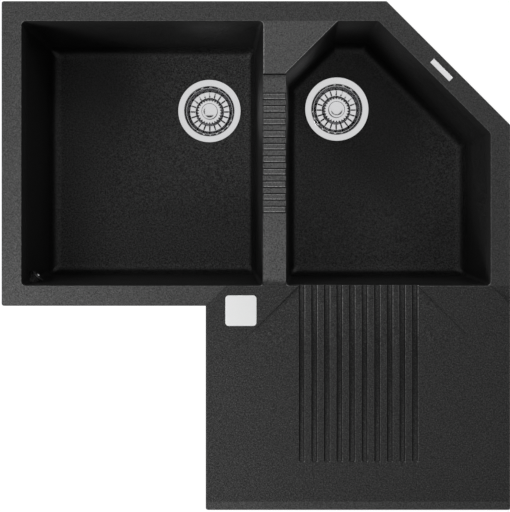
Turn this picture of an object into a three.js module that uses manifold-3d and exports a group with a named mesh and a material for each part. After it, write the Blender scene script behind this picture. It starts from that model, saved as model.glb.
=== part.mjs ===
// Inset corner kitchen sink: one moulded body with two bowls, divider, tap ledge and drainer, two basket
// wastes, an overflow and the worktop clips. Millimetres, +Z up, +X right, +Y to the rear wall.
// The origin is on the rim's underside, on the divider's centre line, behind the bowls.
import * as THREE from "three";
import { mergeVertices } from "three/addons/utils/BufferGeometryUtils.js";
import Module from "manifold-3d";

const wasm = await Module();
wasm.setup();

// ---------------------------------------------------------------- driving dimensions
const OVERALL = 830; // both sides of the L
const ARM = 497; // width of each arm of the L
const CORNER_CUT = 202; // leg of the cut-off rear right corner
const RIM = 33.5; // rim from outer edge to bowl opening
const RIM_TOP = 9; // rim's highest line above the worktop
const RIM_FALL = 3; // fall of the rim's top towards its outer edge
const ARRIS = 1.5; // chamfer on the outer top edge
const OUTER_CORNER = 4; // outline's corner radius in plan
const DECK_EDGE = 3; // steep edge of the drainer deck
const FRONT_BEVEL = 15; // sloping strip along the drainer's front
const SEAT_INSET = 18; // from the rear edge to the origin

const MAIN_WIDTH = 393; // main bowl opening, left to right
const MAIN_DEPTH = 200;
const SMALL_RAISED = 30; // small bowl's floor above the main one's
const DIVIDER = 37; // between the two openings
const LEDGE_SHARE = 0.5644; // of the small bowl's rear beside the cut-off corner, taken by the tap ledge
const DRAFT = THREE.MathUtils.degToRad(2.5);
const BOWL_CORNER = 7; // upright corners of the bowls
const FLOOR_FILLET = 12;
const FLOOR_FALL = 2.5; // fall of the floor to the waste
const WALL = 8;

const DIVIDER_DROP = 6; // divider's top below the rim
const DIVIDER_DEEP = 17; // divider's own thickness
const DIVIDER_CLEAR = 1; // cut over the divider, beyond its sides
const RIB_COUNT = 10;
const RIB_PITCH = 20.5;
const RIB_LENGTH = 33;
const RIB_HEIGHT = 1.5;
const RIB_START = 31.6; // from the ledge's step to the first rib

const GROOVE_COUNT = 10;
const GROOVE_PITCH = 20.5;
const GROOVE_WIDTH = 9.6;
const GROOVE_LENGTH = 288;
const GROOVE_DEPTH = 1.8; // at the far end
const GROOVE_FALL = 5; // further fall to the bowl
const DIP_LENGTH = 105; // sloping part of the deck beside the bowl
const DIP_DEPTH = 4;

const SEAT_STRIP = 22; // flat underside that rests on the worktop
const TRAY = 7; // extra thickness under the drainer
const TRAY_RIB = { width: 8, deep: 12, count: 4 };
const TAP = { x: 22, fromRear: 68, radius: 17.5, skin: 5, padRadius: 26, padDeep: 5 };

const WASTE_OFFSET = 114; // wastes, each side of the divider's centre line
const WASTE_FROM_REAR = 123; // wastes, in front of the bowls' rear edge
const FLANGE_RADIUS = 57;
const FLANGE_THICK = 1.6;
const CUP_RADIUS = 44; // inside of the steel cup
const STEEL = 1.2;
const SEAL_THICK = 1.6;
const PAD_RADIUS = 66; // thickened floor round the waste
const PAD_DEEP = 5;
const GAP = 0.3; // between pieces that touch
const WASTE_CLEAR = 0.6; // round the flange and the cup in the bowl's floor

const CLIP = { thick: 1.5, width: 10, leg: 4.2, reach: 19, plateZ: -24, footZ: -44, lip: 2.5 };
const CLIP_INSET = 20.5; // clip screw, in from the outer edge
const CLIP_SCREW = { shank: 2, head: 3.6, headThick: 2.4, length: 20, hole: 0.4 };
const BOSS = { width: 26, deep: 10, drainerRadius: 8 };

const OVERFLOW = {
  depth: 65, face: 18, back: 17, boss: 17, hole: 9, cover: 12, coverThick: 2,
  ports: 8, portRadius: 1.7, portRing: 6.6, screw: 2, screwHole: 2.4,
};
const ELBOW = {
  flange: 16, flangeThick: 3, pipe: 10.5, wall: 2.2, length: 14, post: 4,
  tail: 9.5, behind: 0.7, drop: 46, // tail pipe: radius, gap behind the flange, length below the axis
};
const OVERFLOW_SEAL = 2;
const RIM_SEAL = { width: 8, thick: 2.7, inset: 3 };
const LABEL = { width: 50.6, height: 49.7, radius: 5.7, thick: 0.4, x: -54.6, fromNotch: 7.6 };
const PLATE = { length: 44, width: 9, thick: 0.8, glue: 0.05 };
const FINE = 30; // facets round the pieces in view
const ROUND = 20; // facets round the others

// ---------------------------------------------------------------- places worked out from them
const left = -(RIM + MAIN_WIDTH + DIVIDER / 2);
const right = left + OVERALL;
const rear = SEAT_INSET;
const front = rear - OVERALL;
const bowlRear = rear - RIM;
const bowlFront = rear - ARM + RIM;
const notchX = right - ARM;
const notchY = rear - ARM;
const edgeZ = RIM_TOP - RIM_FALL;
const dividerZ = RIM_TOP - DIVIDER_DROP;
const innerCut = CORNER_CUT - (2 - Math.SQRT2) * RIM;
const ledgeCut = LEDGE_SHARE * (right - RIM - innerCut - DIVIDER / 2);
const ledgeStep = bowlRear - ledgeCut;
const wasteY = bowlRear - WASTE_FROM_REAR;
const drainerX = (notchX + right) / 2;
const smallDepth = MAIN_DEPTH - SMALL_RAISED;
const above = RIM_TOP + 5; // clear of everything, for cuts from the top

const outline = [
  [left, notchY], [notchX, notchY], [notchX, front], [right, front],
  [right, rear - CORNER_CUT], [right - CORNER_CUT, rear], [left, rear],
].map(([x, y]) => new THREE.Vector2(x, y));

const mainOpening = [
  [left + RIM, bowlFront], [-DIVIDER / 2, bowlFront], [-DIVIDER / 2, bowlRear], [left + RIM, bowlRear],
].map(([x, y]) => new THREE.Vector2(x, y));

const smallOpening = [
  [DIVIDER / 2, bowlFront], [right - RIM, bowlFront], [right - RIM, bowlRear - innerCut],
  [right - RIM - innerCut, bowlRear], [DIVIDER / 2 + ledgeCut, bowlRear], [DIVIDER / 2, ledgeStep],
].map(([x, y]) => new THREE.Vector2(x, y));

// ---------------------------------------------------------------- solids
// A manifold solid from a closed geometry, with shared vertices merged and collapsed triangles left out.
function solid(geometry) {
  const bare = geometry.clone();
  for (const name of Object.keys(bare.attributes)) {
    if (name !== "position") bare.deleteAttribute(name);
  }
  const merged = mergeVertices(bare, 1e-4);
  const index = merged.index.array;
  const triVerts = [];
  for (let i = 0; i < index.length; i += 3) {
    const [a, b, c] = [index[i], index[i + 1], index[i + 2]];
    if (a !== b && b !== c && c !== a) triVerts.push(a, b, c);
  }
  const vertProperties = new Float32Array(merged.attributes.position.array);
  const mesh = new wasm.Mesh({ numProp: 3, vertProperties, triVerts: new Uint32Array(triVerts) });
  return new wasm.Manifold(mesh);
}

function toGeometry(body) {
  const { vertProperties, triVerts } = body.getMesh();
  const geometry = new THREE.BufferGeometry();
  geometry.setAttribute("position", new THREE.BufferAttribute(new Float32Array(vertProperties), 3));
  geometry.setIndex(new THREE.BufferAttribute(new Uint32Array(triVerts), 1));
  geometry.computeVertexNormals();
  return geometry;
}

function join(first, ...others) {
  return others.reduce((body, other) => body.add(other), first);
}

function cut(body, ...tools) {
  return tools.reduce((rest, tool) => rest.subtract(tool), body);
}

// A closed skin over rings of points, lowest ring first, each counter-clockwise seen from above.
function loft(rings) {
  const count = rings[0].length;
  const positions = rings.flat().flatMap((p) => [p.x, p.y, p.z]);
  const index = [];
  for (let ring = 0; ring + 1 < rings.length; ring++) {
    for (let i = 0; i < count; i++) {
      const a = ring * count + i;
      const b = ring * count + ((i + 1) % count);
      index.push(a, b, b + count, a, b + count, a + count);
    }
  }
  const topStart = (rings.length - 1) * count;
  for (const [a, b, c] of THREE.ShapeUtils.triangulateShape(flat(rings[0]), [])) index.push(a, c, b);
  for (const [a, b, c] of THREE.ShapeUtils.triangulateShape(flat(rings.at(-1)), [])) {
    index.push(topStart + a, topStart + b, topStart + c);
  }
  const geometry = new THREE.BufferGeometry();
  geometry.setAttribute("position", new THREE.Float32BufferAttribute(positions, 3));
  geometry.setIndex(index);
  return solid(geometry);
}

function flat(ring) {
  return ring.map((p) => new THREE.Vector2(p.x, p.y));
}

function lift(points, z) {
  return points.map((p) => new THREE.Vector3(p.x, p.y, z));
}

function prism(points, low, high) {
  return loft([lift(points, low), lift(points, high)]);
}

function block(x0, x1, y0, y1, z0, z1) {
  const box = new THREE.BoxGeometry(x1 - x0, y1 - y0, z1 - z0);
  return solid(box.translate((x0 + x1) / 2, (y0 + y1) / 2, (z0 + z1) / 2));
}

function cylinder(radius, low, high, x = 0, y = 0, facets = ROUND) {
  const geometry = new THREE.CylinderGeometry(radius, radius, high - low, facets);
  return solid(geometry.rotateX(Math.PI / 2).translate(x, y, (low + high) / 2));
}

// A turned piece about Z from a profile of [radius, z] that closes on the axis or on itself.
function turned(profile, facets = ROUND) {
  const points = profile.map(([r, z]) => new THREE.Vector2(r, z));
  if (THREE.ShapeUtils.area(points) < 0) points.reverse();
  if (points[0].x > 0 || points.at(-1).x > 0) points.push(points[0].clone());
  return solid(new THREE.LatheGeometry(points, facets).rotateX(Math.PI / 2));
}

function ringSolid(inner, outer, low, high, facets = ROUND) {
  return turned([[inner, low], [outer, low], [outer, high], [inner, high]], facets);
}

// ---------------------------------------------------------------- outlines
function direction(from, to) {
  return to.clone().sub(from).normalize();
}

function leftOf(vector) {
  return new THREE.Vector2(-vector.y, vector.x);
}

// Each edge of a counter-clockwise outline moved inwards; a negative distance moves it outwards.
function inset(corners, distance) {
  return corners.map((corner, i) => {
    const a = leftOf(direction(corners.at(i - 1), corner));
    const b = leftOf(direction(corner, corners[(i + 1) % corners.length]));
    return corner.clone().addScaledVector(a.clone().add(b), distance / (1 + a.dot(b)));
  });
}

// Corners replaced by arcs of one radius, with the same number of points at each corner.
function rounded(corners, radius, steps = 2) {
  return corners.flatMap((corner, i) => {
    const a = direction(corners.at(i - 1), corner);
    const b = direction(corner, corners[(i + 1) % corners.length]);
    const turn = Math.atan2(a.cross(b), a.dot(b));
    const start = corner.clone().addScaledVector(a, -radius * Math.tan(Math.abs(turn) / 2));
    const arm = leftOf(a).multiplyScalar(Math.sign(turn) * radius);
    const centre = start.clone().add(arm);
    return Array.from({ length: steps + 1 }, (_, k) =>
      centre.clone().sub(arm.clone().rotateAround(new THREE.Vector2(), (turn * k) / steps)),
    );
  });
}

// ---------------------------------------------------------------- sink body
function rimSlab() {
  const side = loft([
    lift(outline, 0),
    lift(outline, edgeZ - ARRIS),
    lift(inset(outline, ARRIS), edgeZ),
  ]);
  const foot = inset(outline, ARRIS);
  const [leftFront, notch, drainLeft, drainRight, cutFront, cutRear, leftRear] = foot;
  const mitreEnd = bowlFront - RIM + DECK_EDGE;
  const base = [
    leftFront, notch, notch, drainLeft, drainRight,
    new THREE.Vector2(right - ARRIS, mitreEnd), new THREE.Vector2(right - ARRIS, bowlFront),
    cutFront, cutRear, leftRear,
  ];
  const inner = inset(outline, RIM);
  const crown = [
    inner[0], inner[1],
    new THREE.Vector2(notchX + DECK_EDGE, notchY + DECK_EDGE),
    new THREE.Vector2(notchX + DECK_EDGE, front + FRONT_BEVEL),
    new THREE.Vector2(right - DECK_EDGE, front + FRONT_BEVEL),
    new THREE.Vector2(right - DECK_EDGE, mitreEnd),
    new THREE.Vector2(right - RIM, bowlFront),
    inner[4], inner[5], inner[6],
  ];
  const top = loft([lift(base, edgeZ), lift(crown, RIM_TOP)]);
  return join(side, top).intersect(prism(rounded(outline, OUTER_CORNER), -1, above));
}

// Rings of a bowl's inside (thickness 0) or outside, from the floor up to the wall's end.
function bowlRings(opening, depth, thickness) {
  const floorZ = RIM_TOP - depth;
  const drawIn = (depth - FLOOR_FILLET) * Math.tan(DRAFT);
  const radius = FLOOR_FILLET + thickness;
  const corner = BOWL_CORNER + thickness;
  const steps = 3;
  return Array.from({ length: steps + 1 }, (_, k) => {
    const angle = ((steps - k) / steps) * (Math.PI / 2);
    const inwards = drawIn + FLOOR_FILLET - radius * Math.cos(angle);
    const z = floorZ + FLOOR_FILLET - radius * Math.sin(angle);
    return lift(rounded(inset(opening, inwards), corner), z);
  });
}

function bowlInside(opening, depth, wasteX) {
  const rings = bowlRings(opening, depth, 0);
  const dish = rings[0].map((p) => {
    const toPoint = new THREE.Vector2(p.x - wasteX, p.y - wasteY).setLength(FLANGE_RADIUS + 4);
    return new THREE.Vector3(wasteX + toPoint.x, wasteY + toPoint.y, p.z - FLOOR_FALL);
  });
  const mouth = lift(rounded(inset(opening, -5 * Math.tan(DRAFT)), BOWL_CORNER), above);
  return loft([dish, ...rings, mouth]);
}

function bowlOutside(opening, depth, wasteX) {
  const top = lift(rounded(inset(opening, -WALL), BOWL_CORNER + WALL), edgeZ - 2);
  const shell = loft([...bowlRings(opening, depth, WALL), top]);
  const padZ = RIM_TOP - depth - WALL;
  return join(shell, cylinder(PAD_RADIUS, padZ - PAD_DEEP, padZ + 1, wasteX, wasteY));
}

function wasteHole(depth, wasteX) {
  const floorZ = wasteZ(depth);
  const seatZ = floorZ - SEAL_THICK - FLANGE_THICK - 2 * GAP;
  return join(
    cylinder(FLANGE_RADIUS + WASTE_CLEAR, seatZ, floorZ + 6, wasteX, wasteY, FINE),
    cylinder(CUP_RADIUS + STEEL + WASTE_CLEAR, floorZ - 40, floorZ, wasteX, wasteY, FINE),
  );
}

// Height of the bowl's floor beside its waste flange.
function wasteZ(depth) {
  return RIM_TOP - depth - FLOOR_FALL;
}

function dividerWeb() {
  const half = DIVIDER / 2;
  return block(-half, half, bowlFront - RIM / 2, ledgeStep + 2, dividerZ - DIVIDER_DEEP, edgeZ - 1);
}

function dividerTrench() {
  const half = DIVIDER / 2 + DIVIDER_CLEAR;
  return block(-half, half, bowlFront, ledgeStep, dividerZ, above);
}

function dividerRibs() {
  const wide = RIB_PITCH / 2;
  return Array.from({ length: RIB_COUNT }, (_, i) => {
    const y = ledgeStep - RIB_START - i * RIB_PITCH;
    return block(-RIB_LENGTH / 2, RIB_LENGTH / 2, y - wide, y, dividerZ - 1, dividerZ + RIB_HEIGHT);
  });
}

function grooveX(i) {
  return drainerX + (i - (GROOVE_COUNT - 1) / 2) * GROOVE_PITCH;
}

// A cut whose floor slopes along Y, from floorFar at yFar up or down to floorNear at yNear.
function slopedCut(farPoints, nearPoints, floorFar, floorNear) {
  const [a, b] = farPoints;
  const [c, d] = nearPoints;
  const ring = (za, zb) => [
    new THREE.Vector3(a.x, a.y, za), new THREE.Vector3(b.x, b.y, za),
    new THREE.Vector3(c.x, c.y, zb), new THREE.Vector3(d.x, d.y, zb),
  ];
  return loft([ring(floorFar, floorNear), ring(above, above)]);
}

function grooves() {
  const far = bowlFront - GROOVE_LENGTH;
  const farZ = RIM_TOP - GROOVE_DEPTH;
  const near = bowlFront + WALL;
  const nearZ = farZ - (GROOVE_FALL * (near - far)) / GROOVE_LENGTH;
  return Array.from({ length: GROOVE_COUNT }, (_, i) => {
    const x0 = grooveX(i) - GROOVE_WIDTH / 2;
    const x1 = x0 + GROOVE_WIDTH;
    const farEnd = [{ x: x0, y: far }, { x: x1, y: far }];
    return slopedCut(farEnd, [{ x: x1, y: near }, { x: x0, y: near }], farZ, nearZ);
  });
}

function deckDip() {
  const x0 = grooveX(0) - GROOVE_WIDTH / 2;
  const x1 = grooveX(GROOVE_COUNT - 1) + GROOVE_WIDTH / 2;
  const far = bowlFront - DIP_LENGTH;
  const near = bowlFront + WALL;
  const nearZ = RIM_TOP - (DIP_DEPTH * (DIP_LENGTH + WALL)) / DIP_LENGTH;
  return slopedCut(
    [{ x: x0 - DIP_LENGTH, y: far }, { x: x1 + DIP_LENGTH, y: far }],
    [{ x: x1 - WALL, y: near }, { x: x0 + WALL, y: near }],
    RIM_TOP, nearZ,
  );
}

function drainerTray() {
  const x0 = notchX + SEAT_STRIP;
  const x1 = right - SEAT_STRIP;
  const y0 = front + SEAT_STRIP;
  const y1 = bowlFront - WALL / 2;
  const tray = block(x0, x1, y0, y1, -TRAY, 1);
  const { width, deep, count } = TRAY_RIB;
  const ribs = Array.from({ length: count }, (_, i) => {
    const x = x0 + ((i + 0.5) * (x1 - x0)) / count;
    return block(x - width / 2, x + width / 2, y0, y1, -TRAY - deep, -TRAY + 1);
  });
  const middle = (y0 + y1) / 2;
  const crossRib = block(x0, x1, middle - width / 2, middle + width / 2, -TRAY - deep, -TRAY + 1);
  return join(tray, ...ribs, crossRib);
}

function tapPad() {
  const y = rear - TAP.fromRear;
  const pad = cylinder(TAP.padRadius, -TAP.padDeep, 1, TAP.x, y);
  return { pad, knockOut: cylinder(TAP.radius, -20, RIM_TOP - TAP.skin, TAP.x, y) };
}

// ---------------------------------------------------------------- clips
// Each place has the clip screw's point on the outline's inside and the outward direction of that edge.
const edgeSpots = [
  { from: 6, to: 0, share: 0.45 }, { from: 5, to: 6, share: 0.68 },
  { from: 4, to: 5, share: 0.5 }, { from: 3, to: 4, share: 0.75 },
  { from: 3, to: 4, share: 0.2 }, { from: 2, to: 3, share: 0.5 },
  { from: 1, to: 2, share: 0.6 }, { from: 0, to: 1, share: 0.55 },
];

function clipPlace({ from, to, share }) {
  const a = outline[from];
  const b = outline[to];
  const along = direction(a, b);
  const outwards = leftOf(along).negate();
  const point = a.clone().lerp(b, share).addScaledVector(outwards, -CLIP_INSET);
  return { point, angle: Math.atan2(outwards.y, outwards.x), besideDrainer: point.y < bowlFront - 40 };
}

function clipBoss(place) {
  const { point, angle, besideDrainer } = place;
  const inwards = besideDrainer ? BOSS.drainerRadius * 2 : BOSS.deep;
  const wide = besideDrainer ? BOSS.drainerRadius * 2 : BOSS.width;
  const box = new THREE.BoxGeometry(inwards + CLIP.width / 2, wide, -CLIP.plateZ + 1);
  box.translate((CLIP.width / 2 - inwards) / 2, 0, (CLIP.plateZ + 1) / 2);
  return solid(box.rotateZ(angle).translate(point.x, point.y, 0));
}

function screwHole({ point }) {
  const depth = CLIP_SCREW.length + 1;
  return cylinder(CLIP_SCREW.shank + 0.2, CLIP.plateZ - 1, CLIP.plateZ + depth, point.x, point.y, 12);
}

// ---------------------------------------------------------------- overflow
const overflowCorner = new THREE.Vector2(left + RIM, bowlFront);
const overflowZ = RIM_TOP - OVERFLOW.depth;

// A piece turned about Z, laid along the corner's diagonal with +Z of the profile facing into the bowl.
function facingBowl(body) {
  const place = new THREE.Matrix4().makeRotationZ(Math.PI / 4);
  place.multiply(new THREE.Matrix4().makeRotationY(Math.PI / 2));
  place.setPosition(overflowCorner.x, overflowCorner.y, overflowZ);
  return solid(toGeometry(body).applyMatrix4(place));
}

// ---------------------------------------------------------------- the moulded body
function sealTrack(clearance) {
  const { inset: from, width, thick } = RIM_SEAL;
  const outer = inset(outline, from - clearance);
  const inner = inset(outline, from + width + clearance);
  const top = thick + clearance;
  return cut(prism(outer, clearance ? -1 : 0, top), prism(inner, -2, top + 1));
}

function sinkBody() {
  const { pad, knockOut } = tapPad();
  const places = edgeSpots.map(clipPlace);
  const outside = join(
    rimSlab(), dividerWeb(), drainerTray(), pad, ...places.map(clipBoss),
    bowlOutside(mainOpening, MAIN_DEPTH, -WASTE_OFFSET),
    bowlOutside(smallOpening, smallDepth, WASTE_OFFSET),
    facingBowl(cylinder(OVERFLOW.boss, -OVERFLOW.back, 0)),
  );
  const hollow = cut(
    outside,
    bowlInside(mainOpening, MAIN_DEPTH, -WASTE_OFFSET),
    bowlInside(smallOpening, smallDepth, WASTE_OFFSET),
  );
  const shaped = cut(hollow, dividerTrench(), deckDip(), ...grooves());
  const corner = facingBowl(cylinder(OVERFLOW.boss, -4, OVERFLOW.face));
  const filled = join(shaped, ...dividerRibs(), corner);
  return cut(
    filled, knockOut, sealTrack(GAP), ...places.map(screwHole),
    wasteHole(MAIN_DEPTH, -WASTE_OFFSET), wasteHole(smallDepth, WASTE_OFFSET),
    facingBowl(cylinder(OVERFLOW.hole, -OVERFLOW.back - 5, OVERFLOW.face + 5)),
  );
}

// ---------------------------------------------------------------- materials
function finish(color, roughness, metalness = 0) {
  return new THREE.MeshStandardMaterial({ color, roughness, metalness });
}

const granite = finish(0x34373a, 0.6);
const steel = finish(0xd8dadc, 0.12, 1);
const brightSteel = finish(0xb9bcbf, 0.3, 1);
const rubber = finish(0x18191a, 0.85);
const plastic = finish(0x1c1d1f, 0.5);
const foam = finish(0x4a4c4e, 0.95);
const labelWhite = finish(0xf4f5f4, 0.55);

function piece(name, body, material, position = [0, 0, 0]) {
  const mesh = new THREE.Mesh(toGeometry(body), material);
  mesh.name = name;
  mesh.position.set(...position);
  return mesh;
}

// ---------------------------------------------------------------- waste, z = 0 at the flange's top
const CUP = {
  lip: 2.6, lipDrop: 3, shoulderZ: -25, throatZ: -33, throat: 24, floorZ: -43,
  drains: 6, drainRadius: 4.6, drainRing: 14.5,
};
const BASKET = {
  thick: 1, clear: 1.8, topZ: -3.5, coneTop: 36, coneTopZ: -14, coneEnd: 25.4, coneEndZ: -20, floorDrop: 1,
  slots: 20, slotWidth: 1.8, slotTall: 16, slotShort: 2.4, hub: 6.5, hubTop: 5.4,
};
const CAP = { radius: 22.4, topZ: -10, thick: 2.4, foot: 1, dome: 4, lobes: 24, steps: 2, scallop: 0.9 };
const KNOB = { radius: 14.8, neck: 9, high: 6.2, dimple: 8, dimpleDeep: 1.3, endZ: -29 };
const STOPPER = { clear: 0.6, seat: 1, foot: 8, endZ: -40, waist: 6, top: 4.6 };
const HOUSING = {
  wall: 3, clear: 2, neckZ: -58, outletZ: -84, outlet: 23.8, outletWall: 3.6, hub: 8, barDeep: 6,
};
const SPINDLE = 3; // the knob's spindle through the cap and the basket
const SPINDLE_HOLE = 3.4;
const FIXING = { shank: 2.3, hole: 2.6, neck: 3, head: 6.5, headTop: 4, headHigh: 2.6 };

const padUnderZ = -(WALL + PAD_DEEP - FLOOR_FALL); // underside of the bowl's pad
const housingTop = padUnderZ - SEAL_THICK - 2 * GAP;
const capUnderZ = CAP.topZ - CAP.thick;

function around(count, make) {
  return Array.from({ length: count }, (_, i) => make((i / count) * 2 * Math.PI));
}

function wasteFlange() {
  const t = STEEL;
  const { lip, lipDrop, shoulderZ, throatZ, throat, floorZ, drains, drainRadius, drainRing } = CUP;
  const profile = [
    [CUP_RADIUS + t, -FLANGE_THICK], [FLANGE_RADIUS, -FLANGE_THICK],
    [FLANGE_RADIUS, -0.9], [FLANGE_RADIUS - 2, 0], [CUP_RADIUS + lip, 0],
    [CUP_RADIUS, -lipDrop], [CUP_RADIUS, shoulderZ], [CUP_RADIUS - 4, shoulderZ - 3],
    [throat + 2, throatZ + 1], [throat, throatZ - 1], [throat, floorZ], [0, floorZ], [0, floorZ - t],
    [throat + t, floorZ - t], [throat + t, throatZ - 1.6],
    [CUP_RADIUS - 3.6, shoulderZ - 4.1], [CUP_RADIUS + t, shoulderZ - 0.5],
  ];
  const cup = turned(profile, FINE);
  const holes = around(drains, (angle) => {
    const [x, y] = [drainRing * Math.cos(angle), drainRing * Math.sin(angle)];
    return cylinder(drainRadius, floorZ - 3, floorZ + 3, x, y, 6);
  });
  return cut(cup, ...holes, cylinder(SPINDLE_HOLE, floorZ - 3, floorZ + 3, 0, 0, 12));
}

function strainerBasket() {
  const { thick, clear, topZ, coneTop, coneTopZ, coneEnd, coneEndZ, floorDrop, slots, hub, hubTop } = BASKET;
  const rim = CUP_RADIUS - clear;
  const floorZ = coneEndZ - floorDrop;
  const seatZ = capUnderZ - GAP; // the cap rests on the basket's raised hub
  const profile = [
    [SPINDLE_HOLE, floorZ - thick], [coneEnd - 3, floorZ - thick], [coneEnd + 0.3, coneEndZ - thick],
    [coneTop + 0.6, coneTopZ - thick], [rim, topZ - 2], [rim - 0.4, topZ], [rim - 1.2, topZ - 0.6],
    [coneTop, coneTopZ], [coneEnd, coneEndZ], [coneEnd - 3, floorZ], [hub, floorZ],
    [hubTop, seatZ], [SPINDLE_HOLE, seatZ],
  ];
  const length = coneTop - coneEnd - BASKET.slotShort;
  const openings = around(slots, (angle) => {
    const slot = new THREE.BoxGeometry(length, BASKET.slotWidth, BASKET.slotTall);
    slot.translate((coneTop + coneEnd) / 2 - 0.4, 0, (coneTopZ + coneEndZ) / 2);
    return solid(slot.rotateZ(angle));
  });
  return cut(turned(profile, FINE), ...openings);
}

// The cap is a shallow dome whose edge is scalloped all round.
function basketCap() {
  const { radius, topZ, foot, dome, lobes, steps, scallop } = CAP;
  const edge = (size, z) =>
    around(lobes * steps, (angle) => {
      const reach = size - scallop * (0.5 - 0.5 * Math.cos(lobes * angle));
      return new THREE.Vector3(reach * Math.cos(angle), reach * Math.sin(angle), z);
    });
  const cap = loft([edge(radius - foot, capUnderZ), edge(radius, topZ - 1.8), edge(radius - dome, topZ)]);
  return cut(cap, cylinder(SPINDLE_HOLE, topZ - 5, topZ + 3, 0, 0, 16));
}

function basketKnob() {
  const { radius, neck, high, dimple, dimpleDeep, endZ } = KNOB;
  const foot = CAP.topZ + GAP;
  const top = CAP.topZ + high;
  return turned([
    [0, endZ], [SPINDLE, endZ], [SPINDLE, foot], [neck, foot], [neck + 2, foot + 1.3],
    [radius - 0.6, foot + 3.1], [radius, foot + 4.3], [radius - 0.6, top - 0.4], [radius - 2.2, top],
    [dimple, top - dimpleDeep], [0, top - dimpleDeep - 0.9],
  ]);
}

function basketStopper() {
  const { clear, seat, foot, endZ, waist, top } = STOPPER;
  const { throat, throatZ } = CUP;
  const topZ = BASKET.coneEndZ - BASKET.floorDrop - BASKET.thick - GAP;
  const socketZ = KNOB.endZ - 0.4;
  return turned([
    [0, endZ], [foot, endZ], [foot + 2, endZ + 2], [throat - clear - 1, endZ + 3],
    [throat - clear, throatZ - 1.6], [throat + seat, throatZ + 1.2], [throat + 0.2, throatZ + 2.6],
    [waist, throatZ + 4.4], [top, topZ], [SPINDLE_HOLE, topZ], [SPINDLE_HOLE, socketZ], [0, socketZ],
  ]);
}

function wasteHousing() {
  const { wall, clear, neckZ, outletZ, outlet, outletWall, hub, barDeep } = HOUSING;
  const inside = CUP_RADIUS + STEEL + clear;
  const bore = outlet - outletWall;
  const collar = FLANGE_RADIUS - 3;
  const shell = turned([
    [collar, housingTop - 4], [collar, housingTop], [inside, housingTop], [inside, -34], [30, neckZ + 6],
    [bore, neckZ], [bore, outletZ], [outlet, outletZ], [outlet, neckZ - 3], [31.5, neckZ + 3.5],
    [inside + wall, -36], [inside + wall, housingTop - 4],
  ]);
  const hubTop = CUP.floorZ - STEEL - GAP;
  const screwBoss = ringSolid(FIXING.hole, hub, neckZ, hubTop);
  const keepIn = turned([[0, neckZ], [27, neckZ], [33, neckZ + 6], [33, neckZ + 14], [0, neckZ + 14]]);
  const bars = [0, Math.PI / 2].map((angle) => {
    const bar = new THREE.BoxGeometry(2 * outlet + 12, wall + 0.4, barDeep);
    const placed = solid(bar.translate(0, 0, neckZ + barDeep / 2).rotateZ(angle));
    return placed.subtract(cylinder(hub / 2, neckZ - 2, neckZ + 8)).intersect(keepIn);
  });
  return join(shell, screwBoss, ...bars);
}

function fixingScrew() {
  const { shank, neck, head, headTop, headHigh } = FIXING;
  const end = HOUSING.neckZ + 1;
  const seat = CUP.floorZ + GAP;
  return turned([
    [0, end], [shank, end], [shank, CUP.floorZ - 1], [neck, CUP.floorZ - 1], [neck, seat],
    [head, seat], [head, seat + 1.3], [headTop, CUP.floorZ + headHigh], [0, CUP.floorZ + headHigh],
  ], 12);
}

function flangeSeal() {
  const high = -FLANGE_THICK - GAP;
  return ringSolid(CUP_RADIUS + STEEL + 1.6, FLANGE_RADIUS - 1, high - SEAL_THICK, high);
}

function underSeal() {
  const high = padUnderZ - GAP;
  return ringSolid(CUP_RADIUS + STEEL + 2.4, FLANGE_RADIUS - 4, high - SEAL_THICK, high);
}

function waste(prefix, depth, x) {
  const group = new THREE.Group();
  group.position.set(x, wasteY, wasteZ(depth));
  group.add(
    piece(prefix + "_waste_flange", wasteFlange(), steel),
    piece(prefix + "_flange_seal", flangeSeal(), rubber),
    piece(prefix + "_under_seal", underSeal(), rubber),
    piece(prefix + "_waste_housing", wasteHousing(), plastic),
    piece(prefix + "_fixing_screw", fixingScrew(), brightSteel),
    piece(prefix + "_strainer_basket", strainerBasket(), steel),
    piece(prefix + "_basket_cap", basketCap(), steel),
    piece(prefix + "_basket_knob", basketKnob(), steel),
    piece(prefix + "_basket_stopper", basketStopper(), rubber),
  );
  return group;
}

// ---------------------------------------------------------------- worktop clips
// Screw axis on Z, the foot along +X; heights are the sink's own.
function clipBody() {
  const { thick, width, leg, reach, plateZ, footZ, lip } = CLIP;
  const top = plateZ - GAP;
  const tip = footZ + thick + lip;
  const strip = new THREE.Shape([
    [0, top - thick], [leg, top - thick], [leg, footZ], [reach, footZ], [reach, tip], [reach - thick, tip],
    [reach - thick, footZ + thick], [leg + thick, footZ + thick], [leg + thick, top], [0, top],
  ].map(([x, z]) => new THREE.Vector2(x, z)));
  const bent = new THREE.ExtrudeGeometry(strip, { depth: width, bevelEnabled: false });
  const body = solid(bent.rotateX(Math.PI / 2).translate(0, width / 2, 0));
  const tail = cylinder(width / 2, top - thick, top, 0, 0, 12);
  const hole = cylinder(CLIP_SCREW.shank + CLIP_SCREW.hole, top - 5, top + 5, 0, 0, 10);
  return cut(join(body, tail), hole);
}

function clipScrew() {
  const { shank, head, headThick, length } = CLIP_SCREW;
  const headTop = CLIP.plateZ - CLIP.thick - 2 * GAP;
  const end = CLIP.plateZ + length;
  return turned([
    [0, headTop - headThick], [head, headTop - headThick], [head, headTop], [shank, headTop],
    [shank, end - 1.5], [0, end],
  ], 10);
}

function clips() {
  return edgeSpots.flatMap((spot, i) => {
    const { point, angle } = clipPlace(spot);
    const place = new THREE.Group();
    place.position.set(point.x, point.y, 0);
    place.rotation.z = angle - Math.PI / 2; // stowed along the wall
    place.add(
      piece("worktop_clip_" + (i + 1), clipBody(), brightSteel),
      piece("clip_screw_" + (i + 1), clipScrew(), brightSteel),
    );
    return place;
  });
}

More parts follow.
